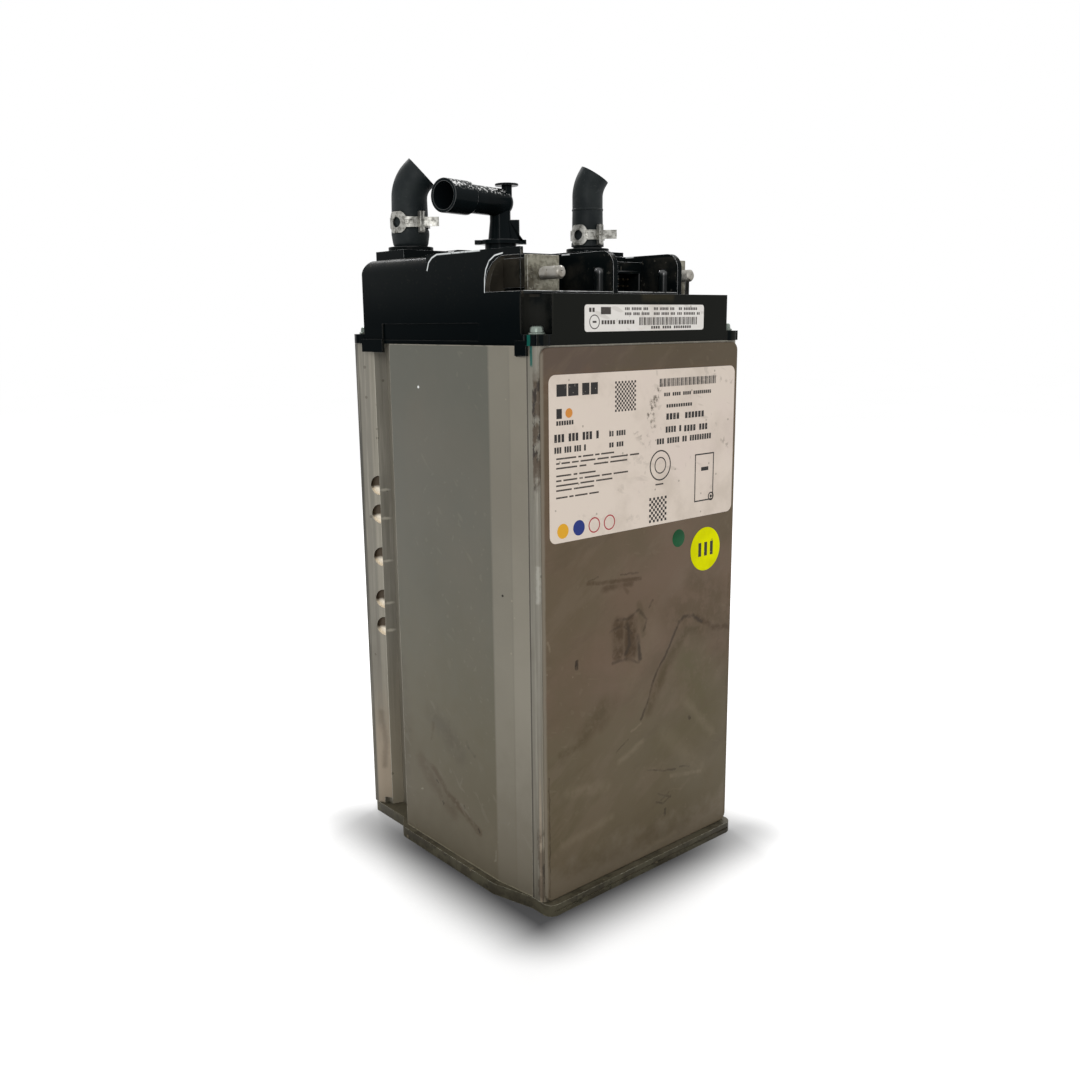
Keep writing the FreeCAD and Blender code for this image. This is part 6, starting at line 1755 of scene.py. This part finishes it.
def build_labels():
    """Label films, round sticker, paint dot and their print."""
    look = settings("print")
    film = film_finish("label_film", look.film)
    dress_node("rating_label", "rating_film", film, FILM_EDGE * MM)
    film = film_finish("small_label_film", look.small_film)
    dress_node("small_label", "small_film", film, FILM_EDGE * MM)
    finish = Finish("sticker_yellow", srgb(233, 235, 0), 0.5, 0.0, 0.02)
    finish.coat(srgb(200, 200, 4), "clouds", 0.5, scale=40.0, low=0.4, high=0.65)
    finish.coat(srgb(120, 118, 40), "specks", 0.6, scale=240.0, size=0.2, amount=0.08)
    finish.bump(finish.mask("grain", scale=900.0), 0.01, 0.4)
    dress_node("round_sticker", "round_film", finish.material, FILM_EDGE * MM)
    print_rating_label()
    print_small_label()
    sticker = Sheet("round_sticker", STICKER_TOP)
    mesh = bmesh.new()
    for bar in STICKER_BARS:
        sticker.bar(mesh, *bar)
    add_piece(mesh, "sticker_marks", ink_finish("ink_sticker", srgb(34, 34, 20)))
    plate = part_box("front_plate")
    mesh = bmesh.new()
    place = mm(DOT_PLACE[0], 0, DOT_PLACE[1])
    place.y = plate[0].y
    lathe(mesh, in_metres(DOT_PROFILE), facing_front(place), 40)
    finish = Finish("paint_green", srgb(28, 86, 52), 0.45, 0.0, 0.1)
    finish.coat(srgb(22, 72, 42), "clouds", 0.8, scale=120.0, low=0.4, high=0.6)
    finish.bump(finish.mask("clouds", scale=200.0), 0.03, 0.5)
    add_piece(mesh, "paint_dot", finish.material)


def build_inside():
    """Finishes for the nodes that keep their own shape."""
    made = {}
    shown = {part["node"]: part["material_slot"] for part in frame["record"]["subparts"]}
    for node, slot in shown.items():
        thing = frame["nodes"][node]
        if thing.hide_render:
            continue
        if slot not in made:
            made[slot] = plain_finish(f"inside_{slot}", *INSIDE[slot])
        thing.data.materials.clear()
        thing.data.materials.append(made[slot])


# Operators

class BATTERY_OT_stage(bpy.types.Operator):
    """Build the floor, the light and the camera."""
    bl_idname = "battery.stage"
    bl_label = "Stage"

    def execute(self, context):
        build_stage()
        return {"FINISHED"}


class BATTERY_OT_case(bpy.types.Operator):
    """Dress the extruded case, the side plates and the front plate."""
    bl_idname = "battery.case"
    bl_label = "Case"

    def execute(self, context):
        build_case()
        return {"FINISHED"}


class BATTERY_OT_base(bpy.types.Operator):
    """Dress the base plate."""
    bl_idname = "battery.base"
    bl_label = "Base plate"

    def execute(self, context):
        build_base()
        return {"FINISHED"}


class BATTERY_OT_cover(bpy.types.Operator):
    """Dress the top cover and build its ribs and screw heads."""
    bl_idname = "battery.cover"
    bl_label = "Cover and screws"

    def execute(self, context):
        build_cover()
        return {"FINISHED"}


class BATTERY_OT_terminals(bpy.types.Operator):
    """Dress the terminal plates and thread the studs."""
    bl_idname = "battery.terminals"
    bl_label = "Terminals"

    def execute(self, context):
        build_terminals()
        return {"FINISHED"}


class BATTERY_OT_connector(bpy.types.Operator):
    """Dress the data connector's shell."""
    bl_idname = "battery.connector"
    bl_label = "Connector"

    def execute(self, context):
        build_connector()
        return {"FINISHED"}


class BATTERY_OT_hoses(bpy.types.Operator):
    """Build the two cut coolant hoses and dress their spigots."""
    bl_idname = "battery.hoses"
    bl_label = "Hoses"

    def execute(self, context):
        build_hoses()
        return {"FINISHED"}


class BATTERY_OT_clamps(bpy.types.Operator):
    """Build the spring clamps of the hoses."""
    bl_idname = "battery.clamps"
    bl_label = "Clamps"

    def execute(self, context):
        build_clamps()
        return {"FINISHED"}


class BATTERY_OT_vent(bpy.types.Operator):
    """Dress the vent elbow."""
    bl_idname = "battery.vent"
    bl_label = "Vent"

    def execute(self, context):
        build_vent()
        return {"FINISHED"}


class BATTERY_OT_labels(bpy.types.Operator):
    """Dress the labels and stickers and print them."""
    bl_idname = "battery.labels"
    bl_label = "Labels"

    def execute(self, context):
        build_labels()
        return {"FINISHED"}


class BATTERY_OT_inside(bpy.types.Operator):
    """Give every node that keeps its own shape its material."""
    bl_idname = "battery.inside"
    bl_label = "Inside"

    def execute(self, context):
        build_inside()
        return {"FINISHED"}


OPERATORS = (
    BATTERY_OT_stage, BATTERY_OT_case, BATTERY_OT_base, BATTERY_OT_cover, BATTERY_OT_terminals,
    BATTERY_OT_connector, BATTERY_OT_hoses, BATTERY_OT_clamps, BATTERY_OT_vent, BATTERY_OT_labels,
    BATTERY_OT_inside,
)
SETTINGS = {
    "stage": StageSettings, "case": CaseSettings, "cover": CoverSettings, "stud": StudSettings,
    "hose": HoseSettings, "print": PrintSettings,
}


class BATTERY_PT_panel(bpy.types.Panel):
    """Lists the steps that dress the battery."""
    bl_idname = "BATTERY_PT_panel"
    bl_label = "Battery"
    bl_space_type = "VIEW_3D"
    bl_region_type = "UI"
    bl_category = "Battery"

    def draw(self, context):
        for step in OPERATORS:
            self.layout.operator(step.bl_idname)


def register():
    for word, group in SETTINGS.items():
        bpy.utils.register_class(group)
        setattr(bpy.types.Scene, f"battery_{word}", PointerProperty(type=group))
    for item in (*OPERATORS, BATTERY_PT_panel):
        bpy.utils.register_class(item)


def unregister():
    for item in (*OPERATORS, BATTERY_PT_panel):
        bpy.utils.unregister_class(item)
    for word, group in SETTINGS.items():
        delattr(bpy.types.Scene, f"battery_{word}")
        bpy.utils.unregister_class(group)


def main():
    """Dresses the frame."""
    register()
    bpy.ops.battery.stage()
    bpy.ops.battery.case()
    bpy.ops.battery.base()
    bpy.ops.battery.cover()
    bpy.ops.battery.terminals()
    bpy.ops.battery.connector()
    bpy.ops.battery.hoses()
    bpy.ops.battery.clamps()
    bpy.ops.battery.vent()
    bpy.ops.battery.labels()
    bpy.ops.battery.inside()


if __name__ == "__main__":
    main()
